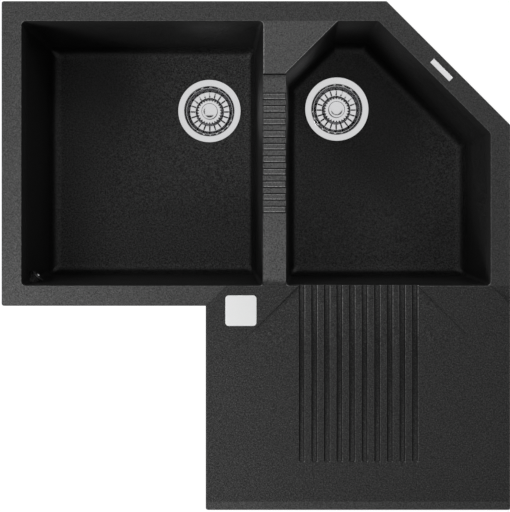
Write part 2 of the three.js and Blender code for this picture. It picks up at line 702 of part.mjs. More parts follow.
// ---------------------------------------------------------------- overflow pieces
function overflowCover() {
  const { face, cover, coverThick } = OVERFLOW;
  const low = face + GAP;
  const disc = turned([
    [0, low], [cover, low], [cover, low + coverThick / 2],
    [cover - 1.5, low + coverThick], [0, low + coverThick],
  ], 16);
  const ports = around(OVERFLOW.ports, (angle) => {
    const [x, y] = [OVERFLOW.portRing * Math.cos(angle), OVERFLOW.portRing * Math.sin(angle)];
    return cylinder(OVERFLOW.portRadius, low - 2, low + 5, x, y, 6);
  });
  return facingBowl(cut(disc, ...ports, cylinder(OVERFLOW.screwHole, low - 2, low + 5, 0, 0, 12)));
}

function overflowScrew() {
  const seat = OVERFLOW.face + GAP + OVERFLOW.coverThick + GAP;
  const end = OVERFLOW.face - 14;
  const shank = OVERFLOW.screw;
  const profile = [
    [0, end], [shank, end], [shank, seat], [shank + 1.8, seat], [shank + 1.4, seat + 1.6], [0, seat + 2.2],
  ];
  return facingBowl(turned(profile, 16));
}

function overflowSeal() {
  const high = -OVERFLOW.back - GAP;
  return facingBowl(ringSolid(OVERFLOW.hole + 0.8, ELBOW.flange - 1, high - OVERFLOW_SEAL, high, 16));
}

function overflowElbow() {
  const { flange, flangeThick, pipe, wall, length, tail, behind, drop, post } = ELBOW;
  const face = -OVERFLOW.back - OVERFLOW_SEAL - 2 * GAP;
  const back = face - flangeThick - length;
  const tailCentre = overflowCorner.clone();
  tailCentre.addScaledVector(new THREE.Vector2(1, 1).normalize(), face - flangeThick - behind - tail);
  const { x, y } = tailCentre;
  const outside = join(
    facingBowl(cylinder(flange, face - flangeThick, face, 0, 0, 16)),
    facingBowl(cylinder(pipe, back, face - 1, 0, 0, 16)),
    cylinder(tail, overflowZ - drop, overflowZ, x, y, 16),
  );
  const open = cut(
    outside,
    facingBowl(cylinder(pipe - wall, back + wall, face + 1, 0, 0, 16)),
    cylinder(tail - wall, overflowZ - drop - 1, overflowZ - post, x, y, 16),
  );
  const withPost = open.add(facingBowl(cylinder(post, back + 1, OVERFLOW.face - 8)));
  const screwHole = cylinder(OVERFLOW.screw + GAP, OVERFLOW.face - 16, OVERFLOW.face, 0, 0, 16);
  return withPost.subtract(facingBowl(screwHole));
}

// ---------------------------------------------------------------- blank label and plate
function rectangle(width, height) {
  const corners = [[-1, -1], [1, -1], [1, 1], [-1, 1]];
  return corners.map(([x, y]) => new THREE.Vector2((x * width) / 2, (y * height) / 2));
}

function cornerLabel() {
  const shape = prism(rounded(rectangle(LABEL.width, LABEL.height), LABEL.radius), 0, LABEL.thick);
  return piece("corner_label", shape, labelWhite, [LABEL.x, notchY - LABEL.fromNotch, RIM_TOP]);
}

function rimPlate() {
  const slope = Math.atan2(RIM_FALL, RIM - ARRIS);
  const middle = outline[4].clone().lerp(outline[5], 0.5);
  const inwards = new THREE.Vector2(-1, -1).normalize().multiplyScalar(RIM / 2);
  const z = edgeZ + (RIM_FALL * (RIM / 2 - ARRIS)) / (RIM - ARRIS);
  const place = new THREE.Group();
  place.position.set(middle.x + inwards.x, middle.y + inwards.y, z + PLATE.glue);
  place.rotation.set(0, 0, -Math.PI / 4);
  const shape = prism(rectangle(PLATE.length, PLATE.width), 0, PLATE.thick);
  const plate = piece("rim_plate", shape, brightSteel);
  plate.rotation.x = -slope;
  place.add(plate);
  return place;
}

// ---------------------------------------------------------------- the whole sink
const sink = new THREE.Group();
sink.add(
  piece("sink_body", sinkBody(), granite),
  piece("rim_seal", sealTrack(0), foam),
  waste("main", MAIN_DEPTH, -WASTE_OFFSET),
  waste("small", smallDepth, WASTE_OFFSET),
  piece("overflow_cover", overflowCover(), plastic),
  piece("overflow_screw", overflowScrew(), brightSteel),
  piece("overflow_seal", overflowSeal(), rubber),
  piece("overflow_elbow", overflowElbow(), plastic),
  cornerLabel(),
  rimPlate(),
  ...clips(),
);

export default sink;
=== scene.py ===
"""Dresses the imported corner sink: granite composite body, basket wastes, overflow, clips, label and studio."""
import math

import bmesh
import bpy
from mathutils import Matrix, Vector


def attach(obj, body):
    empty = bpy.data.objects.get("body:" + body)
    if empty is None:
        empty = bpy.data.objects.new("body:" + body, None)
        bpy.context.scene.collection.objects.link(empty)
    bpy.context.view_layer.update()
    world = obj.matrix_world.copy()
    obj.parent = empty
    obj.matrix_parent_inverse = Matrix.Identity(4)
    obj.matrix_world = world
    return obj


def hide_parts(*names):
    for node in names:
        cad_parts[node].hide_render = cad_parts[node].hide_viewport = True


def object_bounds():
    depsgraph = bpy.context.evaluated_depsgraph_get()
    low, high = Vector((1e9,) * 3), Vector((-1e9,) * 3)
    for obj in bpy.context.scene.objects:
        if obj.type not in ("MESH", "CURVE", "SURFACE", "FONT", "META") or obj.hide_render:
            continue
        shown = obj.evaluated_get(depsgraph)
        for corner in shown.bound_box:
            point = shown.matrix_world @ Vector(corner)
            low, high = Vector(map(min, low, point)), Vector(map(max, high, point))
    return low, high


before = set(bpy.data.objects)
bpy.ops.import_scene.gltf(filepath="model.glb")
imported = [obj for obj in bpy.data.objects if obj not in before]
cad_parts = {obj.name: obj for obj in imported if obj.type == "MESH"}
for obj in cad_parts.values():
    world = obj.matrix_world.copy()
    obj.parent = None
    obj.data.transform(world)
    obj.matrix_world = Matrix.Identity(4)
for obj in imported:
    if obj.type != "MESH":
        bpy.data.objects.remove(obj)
CAD_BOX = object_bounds()

bl_info = {
    "name": "Corner sink dresser",
    "version": (1, 0, 0),
    "blender": (4, 5, 0),
    "location": "View3D > Sidebar > Corner sink",
    "description": "Builds the visible pieces of an inset corner kitchen sink round its packed model",
    "category": "Object",
}

MM = 0.001
MADE = {}  # finished material by slot

# ---- sizes, in millimetres
OVERALL, ARM, CORNER_CUT = 830, 497, 202
RIM, RIM_TOP, RIM_FALL, ARRIS = 33.5, 9, 3, 1.5
DECK_EDGE, FRONT_BEVEL, SEAT_INSET = 3, 15, 18
MAIN_WIDTH, MAIN_DEPTH, SMALL_DEPTH = 393, 200, 170
DIVIDER, DIVIDER_DROP, DIVIDER_DEEP, LEDGE_CUT = 37, 6, 17, 85
BOWL_CORNER, FLOOR_FILLET, FLOOR_FALL, WALL = 7, 21, 2.5, 8
MOUTH_ROUND = 2.0
DRAFT = math.radians(3.5)
RIB_COUNT, RIB_PITCH, RIB_HEIGHT, RIB_START = 10, 20.5, 1.5, 31.6
GROOVE_COUNT, GROOVE_PITCH, GROOVE_WIDTH, GROOVE_LENGTH = 10, 20.5, 9.6, 288
GROOVE_DEPTH, GROOVE_FALL, DIP_LENGTH, DIP_DEPTH = 1.8, 4, 105, 4
SEAT_STRIP, TRAY, TRAY_RIB_WIDE, TRAY_RIB_DEEP, TRAY_RIBS = 22, 7, 8, 12, 4
TAP_X, TAP_FROM_REAR, TAP_RADIUS, TAP_SKIN, TAP_PAD, TAP_PAD_DEEP = 22, 68, 17.5, 5, 26, 5
WASTE_OFFSET, WASTE_FROM_REAR, FLANGE_RADIUS, FLANGE_THICK = 114, 123, 57, 1.6
CUP_RADIUS, STEEL, SEAL_THICK, PAD_RADIUS, PAD_DEEP, GAP = 44, 1.2, 1.6, 66, 5, 0.3

LEFT = -(RIM + MAIN_WIDTH + DIVIDER / 2)
RIGHT = LEFT + OVERALL
REAR = SEAT_INSET
FRONT = REAR - OVERALL
BOWL_REAR = REAR - RIM
BOWL_FRONT = REAR - ARM + RIM
NOTCH_X = RIGHT - ARM
NOTCH_Y = REAR - ARM
EDGE_Z = RIM_TOP - RIM_FALL
DIVIDER_Z = RIM_TOP - DIVIDER_DROP
INNER_CUT = CORNER_CUT - (2 - math.sqrt(2)) * RIM
LEDGE_STEP = BOWL_REAR - LEDGE_CUT
WASTE_Y = BOWL_REAR - WASTE_FROM_REAR
DRAINER_X = (NOTCH_X + RIGHT) / 2
FIRST_RIB = LEDGE_STEP - RIB_START
FIRST_GROOVE = DRAINER_X - (GROOVE_COUNT - 1) / 2 * GROOVE_PITCH
ABOVE = RIM_TOP + 5
WASTES = {"main": (-WASTE_OFFSET, MAIN_DEPTH), "small": (WASTE_OFFSET, SMALL_DEPTH)}

OUTLINE = [(LEFT, NOTCH_Y), (NOTCH_X, NOTCH_Y), (NOTCH_X, FRONT), (RIGHT, FRONT),
           (RIGHT, REAR - CORNER_CUT), (RIGHT - CORNER_CUT, REAR), (LEFT, REAR)]
MAIN_OPENING = [(LEFT + RIM, BOWL_FRONT), (-DIVIDER / 2, BOWL_FRONT), (-DIVIDER / 2, BOWL_REAR),
                (LEFT + RIM, BOWL_REAR)]
SMALL_OPENING = [(DIVIDER / 2, BOWL_FRONT), (RIGHT - RIM, BOWL_FRONT), (RIGHT - RIM, BOWL_REAR - INNER_CUT),
                 (RIGHT - RIM - INNER_CUT, BOWL_REAR), (DIVIDER / 2 + LEDGE_CUT, BOWL_REAR),
                 (DIVIDER / 2, LEDGE_STEP)]


# ---- node trees
class Value:
    """A socket that takes part in Python expressions; each operator adds a Math node."""

    def __init__(self, sheet, socket):
        self.sheet = sheet
        self.socket = socket

    def math(self, operation, *values):
        """A Math node for this value, then the others."""
        return self.sheet.node("ShaderNodeMath", dict(enumerate((self, *values))), operation=operation)[0]

    def __add__(self, other):
        return self.math("ADD", other)

    def __sub__(self, other):
        return self.math("SUBTRACT", other)

    def __rsub__(self, other):
        return self * -1 + other

    def __mul__(self, other):
        return self.math("MULTIPLY", other)

    def __truediv__(self, other):
        return self.math("DIVIDE", other)

    __radd__ = __add__


class Sheet:
    """A node tree being drawn. Every node comes from its one method, node()."""

    def __init__(self, tree):
        self.tree = tree

    def node(self, kind, inputs=None, **settings):
        made = self.tree.nodes.new(kind)
        for key, value in settings.items():
            setattr(made, key, value)
        for key, value in (inputs or {}).items():
            if isinstance(value, Value):
                self.tree.links.new(value.socket, made.inputs[key])
            else:
                made.inputs[key].default_value = value
        return Outputs(self, made)


class Outputs:
    """The outputs of one node, by number or name, as values."""

    def __init__(self, sheet, made):
        self.sheet = sheet
        self.made = made

    def __getitem__(self, key):
        return Value(self.sheet, self.made.outputs[key])


def drawn(owner):
    """The emptied node tree of a new material or world, as a sheet."""
    owner.use_nodes = True
    owner.node_tree.nodes.clear()
    return Sheet(owner.node_tree)


def finish(slot):
    """The procedural material of a slot, made when it is first asked for."""
    if slot not in MADE:
        made = bpy.data.materials.new("sink_" + slot)
        sheet = drawn(made)
        place = sheet.node("ShaderNodeTexCoord")["Object"]
        surface = sheet.node("ShaderNodeBsdfPrincipled", FINISHES[slot](place))
        sheet.node("ShaderNodeOutputMaterial", {"Surface": surface["BSDF"]})
        MADE[slot] = made
    return MADE[slot]


def noise(place, scale, detail=2.0, rough=0.5):
    """Fractal noise from 0 to 1; the scale is in cells a metre."""
    inputs = {"Vector": place, "Scale": scale, "Detail": detail, "Roughness": rough}
    return place.sheet.node("ShaderNodeTexNoise", inputs)["Fac"]


def spread(value, low, high, to_low=0.0, to_high=1.0):
    """The value stretched from one range to another, and held inside it."""
    inputs = {"Value": value, "From Min": low, "From Max": high, "To Min": to_low, "To Max": to_high}
    return value.sheet.node("ShaderNodeMapRange", inputs)["Result"]


def between(value, low, high):
    """One between two places and zero outside them, fading inwards over a millimetre."""
    return spread(value, low, low + MM) * spread(value, high, high - MM)


def parts(vector):
    """A vector's three values."""
    split = vector.sheet.node("ShaderNodeSeparateXYZ", {"Vector": vector})
    return split["X"], split["Y"], split["Z"]


def mixed(factor, first, second):
    """Two colours mixed by a factor."""
    colours = [shade if isinstance(shade, Value) else (*shade, 1) for shade in (first, second)]
    return factor.sheet.node("ShaderNodeMix", {0: factor, 6: colours[0], 7: colours[1]}, data_type="RGBA")[2]


def bump(height, distance, strength):
    inputs = {"Height": height, "Distance": distance, "Strength": strength}
    return height.sheet.node("ShaderNodeBump", inputs)["Normal"]


def granite(place):
    """Moulded composite of dark resin with pale and black grains. Arrises are paler as a painted highlight; steep
    faces, the bowls and the drainer are darker as painted shade, and the ledge is paler as painted light.
    """
    looks = bpy.context.scene.sink_finishes
    # The first two numbers set the painted light on the ledge and the painted shade on the drainer.
    ledge_painted_light, drainer_painted_shade, deck_tooth, bowl_tooth = 0.75, 0.42, 0.1, 2.3
    deck = tuple(looks.granite)
    pale_grain, black_grain = (0.17, 0.17, 0.17), tuple(c * 0.25 for c in deck)
    across, along, height = parts(place)
    inside = spread(height, 0.0, -0.03)
    level = parts(place.sheet.node("ShaderNodeTexCoord")["Normal"])[2].math("ABSOLUTE")
    # Steep faces are darkened here and below, and lose their pale grains: painted shade.
    steep = spread(level, 0.9 + inside * 0.09, 0.7 + inside * 0.12)
    # A pale band on slightly tilted faces above the bowls, such as arrises and lips: a painted highlight.
    arris_highlight_mask = (spread(level, 0.992, 0.975) - spread(level, 0.9, 0.74)) * (1 - inside)
    side, front, rear = DIVIDER / 2 * MM, BOWL_FRONT * MM, (BOWL_REAR + 1) * MM
    # The ledge and divider are painted paler: painted light.
    ledge = between(across, -side, side + LEDGE_CUT * MM) * between(along, front, rear) * (1 - inside)
    mitre, bevel = (NOTCH_X - NOTCH_Y) * MM, (FRONT + FRONT_BEVEL) * MM
    # The drainer's deck is darkened, which is painted shade, and gets stronger grain.
    drainer = between(along, bevel - MM, front) * spread(across - along, mitre, mitre + 1.5 * MM)
    grain = noise(place, 430, 2, 0.6)
    coarse = noise(place, 350, 2, 0.7)
    pale = spread(noise(place, 560, 1), 0.56, 0.68)
    black = spread(noise(place, 480, 1, 0.4), 0.43, 0.32)
    tooth = (spread(grain, 0.3, 0.7, -0.4, 0.4) * (1 + drainer * 0.6)
             + spread(coarse, 0.3, 0.7, -0.5, 0.5) * (deck_tooth + inside * bowl_tooth))
    shade = (0.93 + tooth + noise(place, 9) * 0.14).math("MAXIMUM", 0.05)
    # Painted highlight on arrises, painted light on the ledge, painted shade on the drainer and on steep faces.
    painted_light_and_shade = ((1 + arris_highlight_mask * looks.edge_wear) * (1 + ledge * ledge_painted_light - drainer * drainer_painted_shade)
            * (1 - steep * (1 - looks.steep_shade)))
    # The bowls' insides are darker: painted shade.
    resin = mixed(inside, deck, tuple(c * looks.bowl_shade for c in deck))
    resin = place.sheet.node("ShaderNodeVectorMath", {0: resin, "Scale": shade * painted_light_and_shade}, operation="SCALE")["Vector"]
    # Pale grains are left off steep faces, which adds to the painted shade there.
    colour = mixed(pale * (0.34 + inside * 0.1) * (1 - steep), resin, pale_grain)
    return {"Base Color": mixed(black * 0.55, colour, black_grain), "Specular IOR Level": 0.12,
            "Roughness": 0.46 + grain * 0.12 - inside * 0.14,
            "Normal": bump(grain + pale * 0.6 - black * 0.6, 0.0003, 0.45)}


def polished(place):
    """Mirror polished stainless steel with faint wiping marks."""
    steel = tuple(bpy.context.scene.sink_finishes.steel)
    smear = noise(place, 60, 4, 0.6)
    colour = mixed(smear * 0.25, steel, tuple(c * 0.82 for c in steel))
    return {"Base Color": colour, "Metallic": 1.0, "Roughness": 0.07 + smear * 0.09 + noise(place, 1400) * 0.03,
            "Normal": bump(smear, 0.0002, 0.15)}


def plain_steel(place):
    """Stainless steel as it is stamped, brushed one way."""
    brushed = place.sheet.node("ShaderNodeMapping", {"Vector": place, "Scale": (60, 2600, 900)})["Vector"]
    lines = noise(brushed, 1, 3)
    return {"Base Color": mixed(lines, (0.50, 0.50, 0.51), (0.68, 0.68, 0.69)), "Metallic": 1.0,
            "Roughness": 0.24 + lines * 0.16, "Normal": bump(lines, 0.0001, 0.3)}


def moulded_plastic(place):
    """Black moulded plastic with a light spark-eroded tooth."""
    tooth = noise(place, 1500)
    return {"Base Color": mixed(noise(place, 30, 3), (0.012, 0.012, 0.013), (0.028, 0.028, 0.03)),
            "Roughness": 0.38 + tooth * 0.16, "Normal": bump(tooth, 0.0002, 0.3)}


def seal_rubber(place):
    """Black sealing rubber, slightly dusty."""
    dust = noise(place, 140, 4, 0.7)
    return {"Base Color": mixed(spread(dust, 0.4, 0.8), (0.009, 0.009, 0.009), (0.04, 0.039, 0.037)),
            "Roughness": 0.72 + dust * 0.2, "Normal": bump(dust, 0.0003, 0.3)}


def cell_foam(place):
    """Closed-cell sealing strip with small open pits."""
    cells = place.sheet.node("ShaderNodeTexVoronoi", {"Vector": place, "Scale": 850.0})["Distance"]
    # The pits are darker than the strip: painted shade in the pits.
    return {"Base Color": mixed(spread(cells, 0.1, 0.6), (0.035, 0.035, 0.037), (0.11, 0.11, 0.115)),
            "Roughness": 0.95, "Normal": bump(cells, 0.0006, 0.6)}


def label_film(place):
    """Satin white film with a trace of fibre."""
    fibre = noise(place, 900, 4, 0.7)
    return {"Base Color": mixed(fibre, (0.86, 0.87, 0.87), (0.95, 0.95, 0.95)),
            "Roughness": 0.42 + fibre * 0.15, "Normal": bump(fibre, 0.00008, 0.3)}


FINISHES = {"granite": granite, "polished_steel": polished, "plain_steel": plain_steel,
            "plastic": moulded_plastic, "rubber": seal_rubber, "foam": cell_foam, "label": label_film}


# ---- repeats made by Geometry Nodes
def repeat_tree(name, ring):
    """A tree that repeats its own geometry: along a pitch vector, or round Z when ring is true."""
    if name in bpy.data.node_groups:
        return bpy.data.node_groups[name]
    tree = bpy.data.node_groups.new(name, "GeometryNodeTree")
    for socket, kind in (("Geometry", "Geometry"), ("Count", "Int"), ("Pitch", "Vector"), ("Finish", "Material")):
        tree.interface.new_socket(socket, in_out="INPUT", socket_type="NodeSocket" + kind)
    tree.interface.new_socket("Geometry", in_out="OUTPUT", socket_type="NodeSocketGeometry")
    sheet = Sheet(tree)
    given = sheet.node("NodeGroupInput")
    line = sheet.node("GeometryNodeMeshLine", {"Count": given["Count"], "Offset": given["Pitch"]})
    turn = (0.0, 0.0, 0.0)
    if ring:
        step = sheet.node("GeometryNodeInputIndex")["Index"] / given["Count"] * math.tau
        turn = sheet.node("ShaderNodeCombineXYZ", {"Z": step})["Vector"]
        turn = sheet.node("FunctionNodeEulerToRotation", {"Euler": turn})["Rotation"]
    copies = sheet.node("GeometryNodeInstanceOnPoints",
                        {"Points": line["Mesh"], "Instance": given["Geometry"], "Rotation": turn})
    real = sheet.node("GeometryNodeRealizeInstances", {"Geometry": copies["Instances"]})
    dressed = sheet.node("GeometryNodeSetMaterial", {"Geometry": real["Geometry"], "Material": given["Finish"]})
    sheet.node("NodeGroupOutput", {"Geometry": dressed["Geometry"]})
    return tree


def repeat(unit, count, slot, pitch=(0, 0, 0), ring=False):
    """Repeats a unit object count times, along a pitch or round Z, and leaves it as one plain mesh."""
    tree = repeat_tree("ring_of_copies" if ring else "row_of_copies", ring)
    rule = unit.modifiers.new("repeat", "NODES")
    rule.node_group = tree
    values = {"Count": count, "Pitch": tuple(v * MM for v in pitch), "Finish": finish(slot)}
    for item in tree.interface.items_tree:
        if item.in_out == "INPUT" and item.name in values:
            rule[item.identifier] = values[item.name]
    return settle(unit)


def settle(thing):
    """Turns an object's modifiers into its plain mesh."""
    bpy.context.view_layer.update()
    seen = thing.evaluated_get(bpy.context.evaluated_depsgraph_get())
    mesh = bpy.data.meshes.new_from_object(seen)
    thing.modifiers.clear()
    thing.data = mesh
    return thing


# ---- mesh makers, lengths in millimetres
def shape(name, points, faces):
    mesh = bpy.data.meshes.new(name)
    mesh.from_pydata([Vector(p) * MM for p in points], [], faces)
    mesh.validate()
    made = bpy.data.objects.new(name, mesh)
    bpy.context.scene.collection.objects.link(made)
    return made


def loft(name, rings, closed=False):
    """A skin over rings of points, lowest first, each counter-clockwise from above; closed joins the ends."""
    count = len(rings[0])
    points = [p for ring in rings for p in ring]
    faces = []
    spans = len(rings) if closed else len(rings) - 1
    for ring in range(spans):
        low, high = ring * count, ((ring + 1) % len(rings)) * count
        for i in range(count):
            j = (i + 1) % count
            faces.append((low + i, low + j, high + j, high + i))
    if not closed:
        faces.append(tuple(reversed(range(count))))
        faces.append(tuple(range((len(rings) - 1) * count, len(rings) * count)))
    return shape(name, points, faces)


def turned(name, profile, segments=96, x=0, y=0):
    """A turned piece along Z from a profile of (radius, height) that closes on the axis or on itself."""
    area = sum(a[0] * b[1] - b[0] * a[1] for a, b in zip(profile, profile[1:] + profile[:1]))
    path = list(profile) if area > 0 else list(reversed(profile))
    points, rows = [], []
    for radius, height in path:
        first, count = len(points), segments if radius else 1
        rows.append([first + i % count for i in range(segments)])
        for i in range(count):
            angle = math.tau * i / segments
            points.append((x + radius * math.cos(angle), y + radius * math.sin(angle), height))
    faces = []
    for low, high in zip(rows, rows[1:] + rows[:1]):
        for i in range(segments):
            j = (i + 1) % segments
            face = list(dict.fromkeys((low[i], low[j], high[j], high[i])))
            if len(face) > 2:
                faces.append(face)
    return shape(name, points, faces)


def rectangle(x0, x1, y0, y1):
    return [(x0, y0), (x1, y0), (x1, y1), (x0, y1)]


def prism(name, outline, low, high):
    return loft(name, [lift(outline, low), lift(outline, high)])


def block(name, x0, x1, y0, y1, z0, z1):
    return prism(name, rectangle(x0, x1, y0, y1), z0, z1)


def cylinder(name, radius, low, high, x=0, y=0, segments=64):
    return turned(name, [(0, low), (radius, low), (radius, high), (0, high)], segments, x, y)


def lift(points, z):
    return [(p[0], p[1], z) for p in points]


def unit(a, b):
    length = math.hypot(b[0] - a[0], b[1] - a[1])
    return ((b[0] - a[0]) / length, (b[1] - a[1]) / length)


def bends(corners):
    """Each corner of an outline, with the directions of the edges before and after it."""
    for i, corner in enumerate(corners):
        yield corner, unit(corners[i - 1], corner), unit(corner, corners[(i + 1) % len(corners)])


def inset(corners, distance):
    """Each edge of a counter-clockwise outline moved inwards; a negative distance moves it outwards."""
    moved = []
    for corner, a, b in bends(corners):
        na, nb = (-a[1], a[0]), (-b[1], b[0])
        share = distance / (1 + na[0] * nb[0] + na[1] * nb[1])
        moved.append((corner[0] + (na[0] + nb[0]) * share, corner[1] + (na[1] + nb[1]) * share))
    return moved


def rounded(corners, radius, steps=8):
    """Corners replaced by arcs, with the same number of points at each."""
    points = []
    for corner, a, b in bends(corners):
        turn = math.atan2(a[0] * b[1] - a[1] * b[0], a[0] * b[0] + a[1] * b[1])
        back = radius * math.tan(abs(turn) / 2)
        side = math.copysign(radius, turn)
        arm = (-a[1] * side, a[0] * side)
        centre = (corner[0] - a[0] * back + arm[0], corner[1] - a[1] * back + arm[1])
        for k in range(steps + 1):
            angle = turn * k / steps
            c, s = math.cos(angle), math.sin(angle)
            points.append((centre[0] - (arm[0] * c - arm[1] * s), centre[1] - (arm[0] * s + arm[1] * c)))
    return points


def combine(body, operation, tools):
    """Works tool objects into a body one by one; the tools go, and a plain mesh stays."""
    for tool in tools:
        rule = body.modifiers.new("combine", "BOOLEAN")
        rule.operation = operation
        rule.object = tool
        rule.solver = "MANIFOLD"
        settle(body)
        bpy.data.objects.remove(tool)
    return body


def cut(body, *tools):
    return combine(body, "DIFFERENCE", tools)


def join(body, *tools):
    return combine(body, "UNION", tools)


def soften(body, width, segments=3, angle=30):
    """Rounds the sharp edges of a piece for good."""
    rule = body.modifiers.new("soften", "BEVEL")
    rule.width = width * MM
    rule.segments = segments
    rule.limit_method = "ANGLE"
    rule.angle_limit = math.radians(angle)
    rule.use_clamp_overlap = True
    rule.miter_outer = "MITER_ARC"
    return settle(body)


def clean(body):
    """Merges doubles and flat neighbouring faces."""
    near, flat = 0.00002, math.radians(0.5)
    work = bmesh.new()
    work.from_mesh(body.data)
    bmesh.ops.remove_doubles(work, verts=work.verts, dist=near)
    bmesh.ops.dissolve_limit(work, angle_limit=flat, verts=work.verts, edges=work.edges)
    bmesh.ops.dissolve_degenerate(work, edges=work.edges, dist=near)
    work.to_mesh(body.data)
    work.free()
    return body


def smooth(body, angle=32):
    """Smooth shading with creases kept where faces meet sharply, and flat faces kept flat."""
    body.data.shade_smooth()
    body.data.set_sharp_from_angle(angle=math.radians(angle))
    rule = body.modifiers.new("even", "WEIGHTED_NORMAL")
    rule.keep_sharp = True
    return settle(body)


def shift(x, y, z):
    """A move in millimetres."""
    return Matrix.Translation(Vector((x, y, z)) * MM)


def turn_and_move(body, matrix):
    """Puts a place into the mesh, so the object stays at the origin."""
    body.data.transform(matrix)
    body.data.update()
    return body


def done(piece, slot, node, body="root"):
    """Finishes a piece: its name, its finish, its body and the node that it stands for."""
    piece.name = node + "_piece"
    piece.data.materials.clear()
    piece.data.materials.append(finish(slot))
    for face in piece.data.polygons:
        face.material_index = 0
    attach(piece, body)
    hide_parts(node)


def build(make, slot):
    """Makes a fixed piece whose node has the name of the function that makes it."""
    done(smooth(make()), slot, make.__name__)


# ---- sink body
def rim_slab():
    """The flat rim with its sloping top, steep deck edges and front bevel."""
    side = loft("side", [lift(OUTLINE, 0), lift(OUTLINE, EDGE_Z - ARRIS), lift(inset(OUTLINE, ARRIS), EDGE_Z)])
    foot = inset(OUTLINE, ARRIS)
    mitre = BOWL_FRONT - RIM + DECK_EDGE
    base = [foot[0], foot[1], foot[1], foot[2], foot[3], (RIGHT - ARRIS, mitre), (RIGHT - ARRIS, BOWL_FRONT),
            foot[4], foot[5], foot[6]]
    inner = inset(OUTLINE, RIM)
    crown = [inner[0], inner[1], (NOTCH_X + DECK_EDGE, NOTCH_Y + DECK_EDGE),
             (NOTCH_X + DECK_EDGE, FRONT + FRONT_BEVEL), (RIGHT - DECK_EDGE, FRONT + FRONT_BEVEL),
             (RIGHT - DECK_EDGE, mitre), (RIGHT - RIM, BOWL_FRONT), inner[4], inner[5], inner[6]]
    top = loft("top", [lift(base, EDGE_Z - 0.5), lift(crown, RIM_TOP)])
    clean(top)
    keep = prism("keep", rounded(OUTLINE, 4, 6), -1, ABOVE)
    return combine(join(side, top), "INTERSECT", [keep])


def bowl_rings(opening, depth, thickness, steps=8):
    """Rings of a bowl's inside (thickness 0) or outside, from the floor to the wall's foot."""
    draw_in = (depth - FLOOR_FILLET) * math.tan(DRAFT)
    radius = FLOOR_FILLET + thickness
    rings = []
    for k in range(steps + 1):
        angle = (1 - k / steps) * math.pi / 2
        inwards = draw_in + FLOOR_FILLET - radius * math.cos(angle)
        height = RIM_TOP - depth + FLOOR_FILLET - radius * math.sin(angle)
        rings.append(lift(rounded(inset(opening, inwards), BOWL_CORNER + thickness), height))
    return rings


def bowl_inside(opening, depth, waste_x):
    """A bowl's hollow, from the dished floor to past its rounded mouth."""
    rings = bowl_rings(opening, depth, 0)
    dish = []
    for x, y, z in rings[0]:
        reach = (FLANGE_RADIUS + 4) / math.hypot(x - waste_x, y - WASTE_Y)
        dish.append((waste_x + (x - waste_x) * reach, WASTE_Y + (y - WASTE_Y) * reach, z - FLOOR_FALL))
    mouth = []
    for step in range(5):
        angle = math.radians(20 * step)
        below = MOUTH_ROUND * (1 - math.sin(angle))
        wide = MOUTH_ROUND * (1 - math.cos(angle)) - below * math.tan(DRAFT)
        mouth.append(lift(rounded(inset(opening, -wide), BOWL_CORNER + wide), RIM_TOP - below))
    beyond = rounded(inset(opening, -wide - 1.7), BOWL_CORNER + wide + 1.7)
    mouth += [lift(beyond, RIM_TOP + 0.3), lift(beyond, ABOVE)]
    return loft("bowl", [dish, *rings, *mouth])


def bowl_outside(opening, depth):
    top = lift(rounded(inset(opening, -WALL), BOWL_CORNER + WALL), EDGE_Z - 2)
    return loft("shell", [*bowl_rings(opening, depth, WALL, 4), top])


def divider_strip(name, half, front, back, rows):
    """A strip across the divider; each row says how far its long sides stand out, and at what height."""
    return loft(name, [lift(rectangle(-half, half, front - out, back + out), z) for out, z in rows])


def divider_ribs():
    """The shallow ribs across the divider, one unit repeated along Y."""
    top = DIVIDER_Z + RIB_HEIGHT
    rib = divider_strip("divider_rib", DIVIDER / 2 - 1.2, FIRST_RIB - RIB_PITCH / 2, FIRST_RIB,
                        ((1, DIVIDER_Z - 1), (-1.2, top - 0.3), (-2.4, top)))
    return repeat(rib, RIB_COUNT, "granite", pitch=(0, -RIB_PITCH, 0))


def rib_channels():
    """The fine channels along both feet of every rib, one cut repeated along Y."""
    channel = divider_strip("rib_channel", DIVIDER / 2 + 1, FIRST_RIB, FIRST_RIB,
                            ((0.2, DIVIDER_Z - 1), (1.25, DIVIDER_Z + 0.2), (1.25, DIVIDER_Z + 0.9)))
    return repeat(channel, 2 * RIB_COUNT, "granite", pitch=(0, -RIB_PITCH / 2, 0))


def step_channel():
    """The dark line at the foot of the ledge's step."""
    return divider_strip("step_channel", DIVIDER / 2 + 1, LEDGE_STEP - 1.2, LEDGE_STEP,
                         ((-0.4, DIVIDER_Z - 1.4), (0.6, DIVIDER_Z + 0.4), (0.6, DIVIDER_Z + 1)))


def drainer_grooves():
    """The falling grooves of the drainer with their chamfered lips, which carry the painted arris highlight, one cut
    repeated along X.
    """
    far, near = BOWL_FRONT - GROOVE_LENGTH, BOWL_FRONT + WALL
    half, side, lip = GROOVE_WIDTH / 2, 1.6, 1.56
    stations = [(far, RIM_TOP), (far + 1.6, RIM_TOP), (BOWL_FRONT - DIP_LENGTH, RIM_TOP),
                (near, RIM_TOP - DIP_DEPTH * 1.076)]
    rings = []
    for y, deck in stations:
        floor = RIM_TOP - GROOVE_DEPTH - GROOVE_FALL * (y - far) / GROOVE_LENGTH
        if y == far:
            floor = RIM_TOP - 0.4
        reach = half + lip
        rings.append([(FIRST_GROOVE + px, y, pz) for px, pz in (
            (reach, ABOVE), (-reach, ABOVE), (-reach, deck + 0.1), (-half, deck - 0.35), (side - half, floor),
            (half - side, floor), (half, deck - 0.35), (reach, deck + 0.1))])
    groove = face_outwards(loft("groove", rings))
    return repeat(groove, GROOVE_COUNT, "granite", pitch=(GROOVE_PITCH, 0, 0))


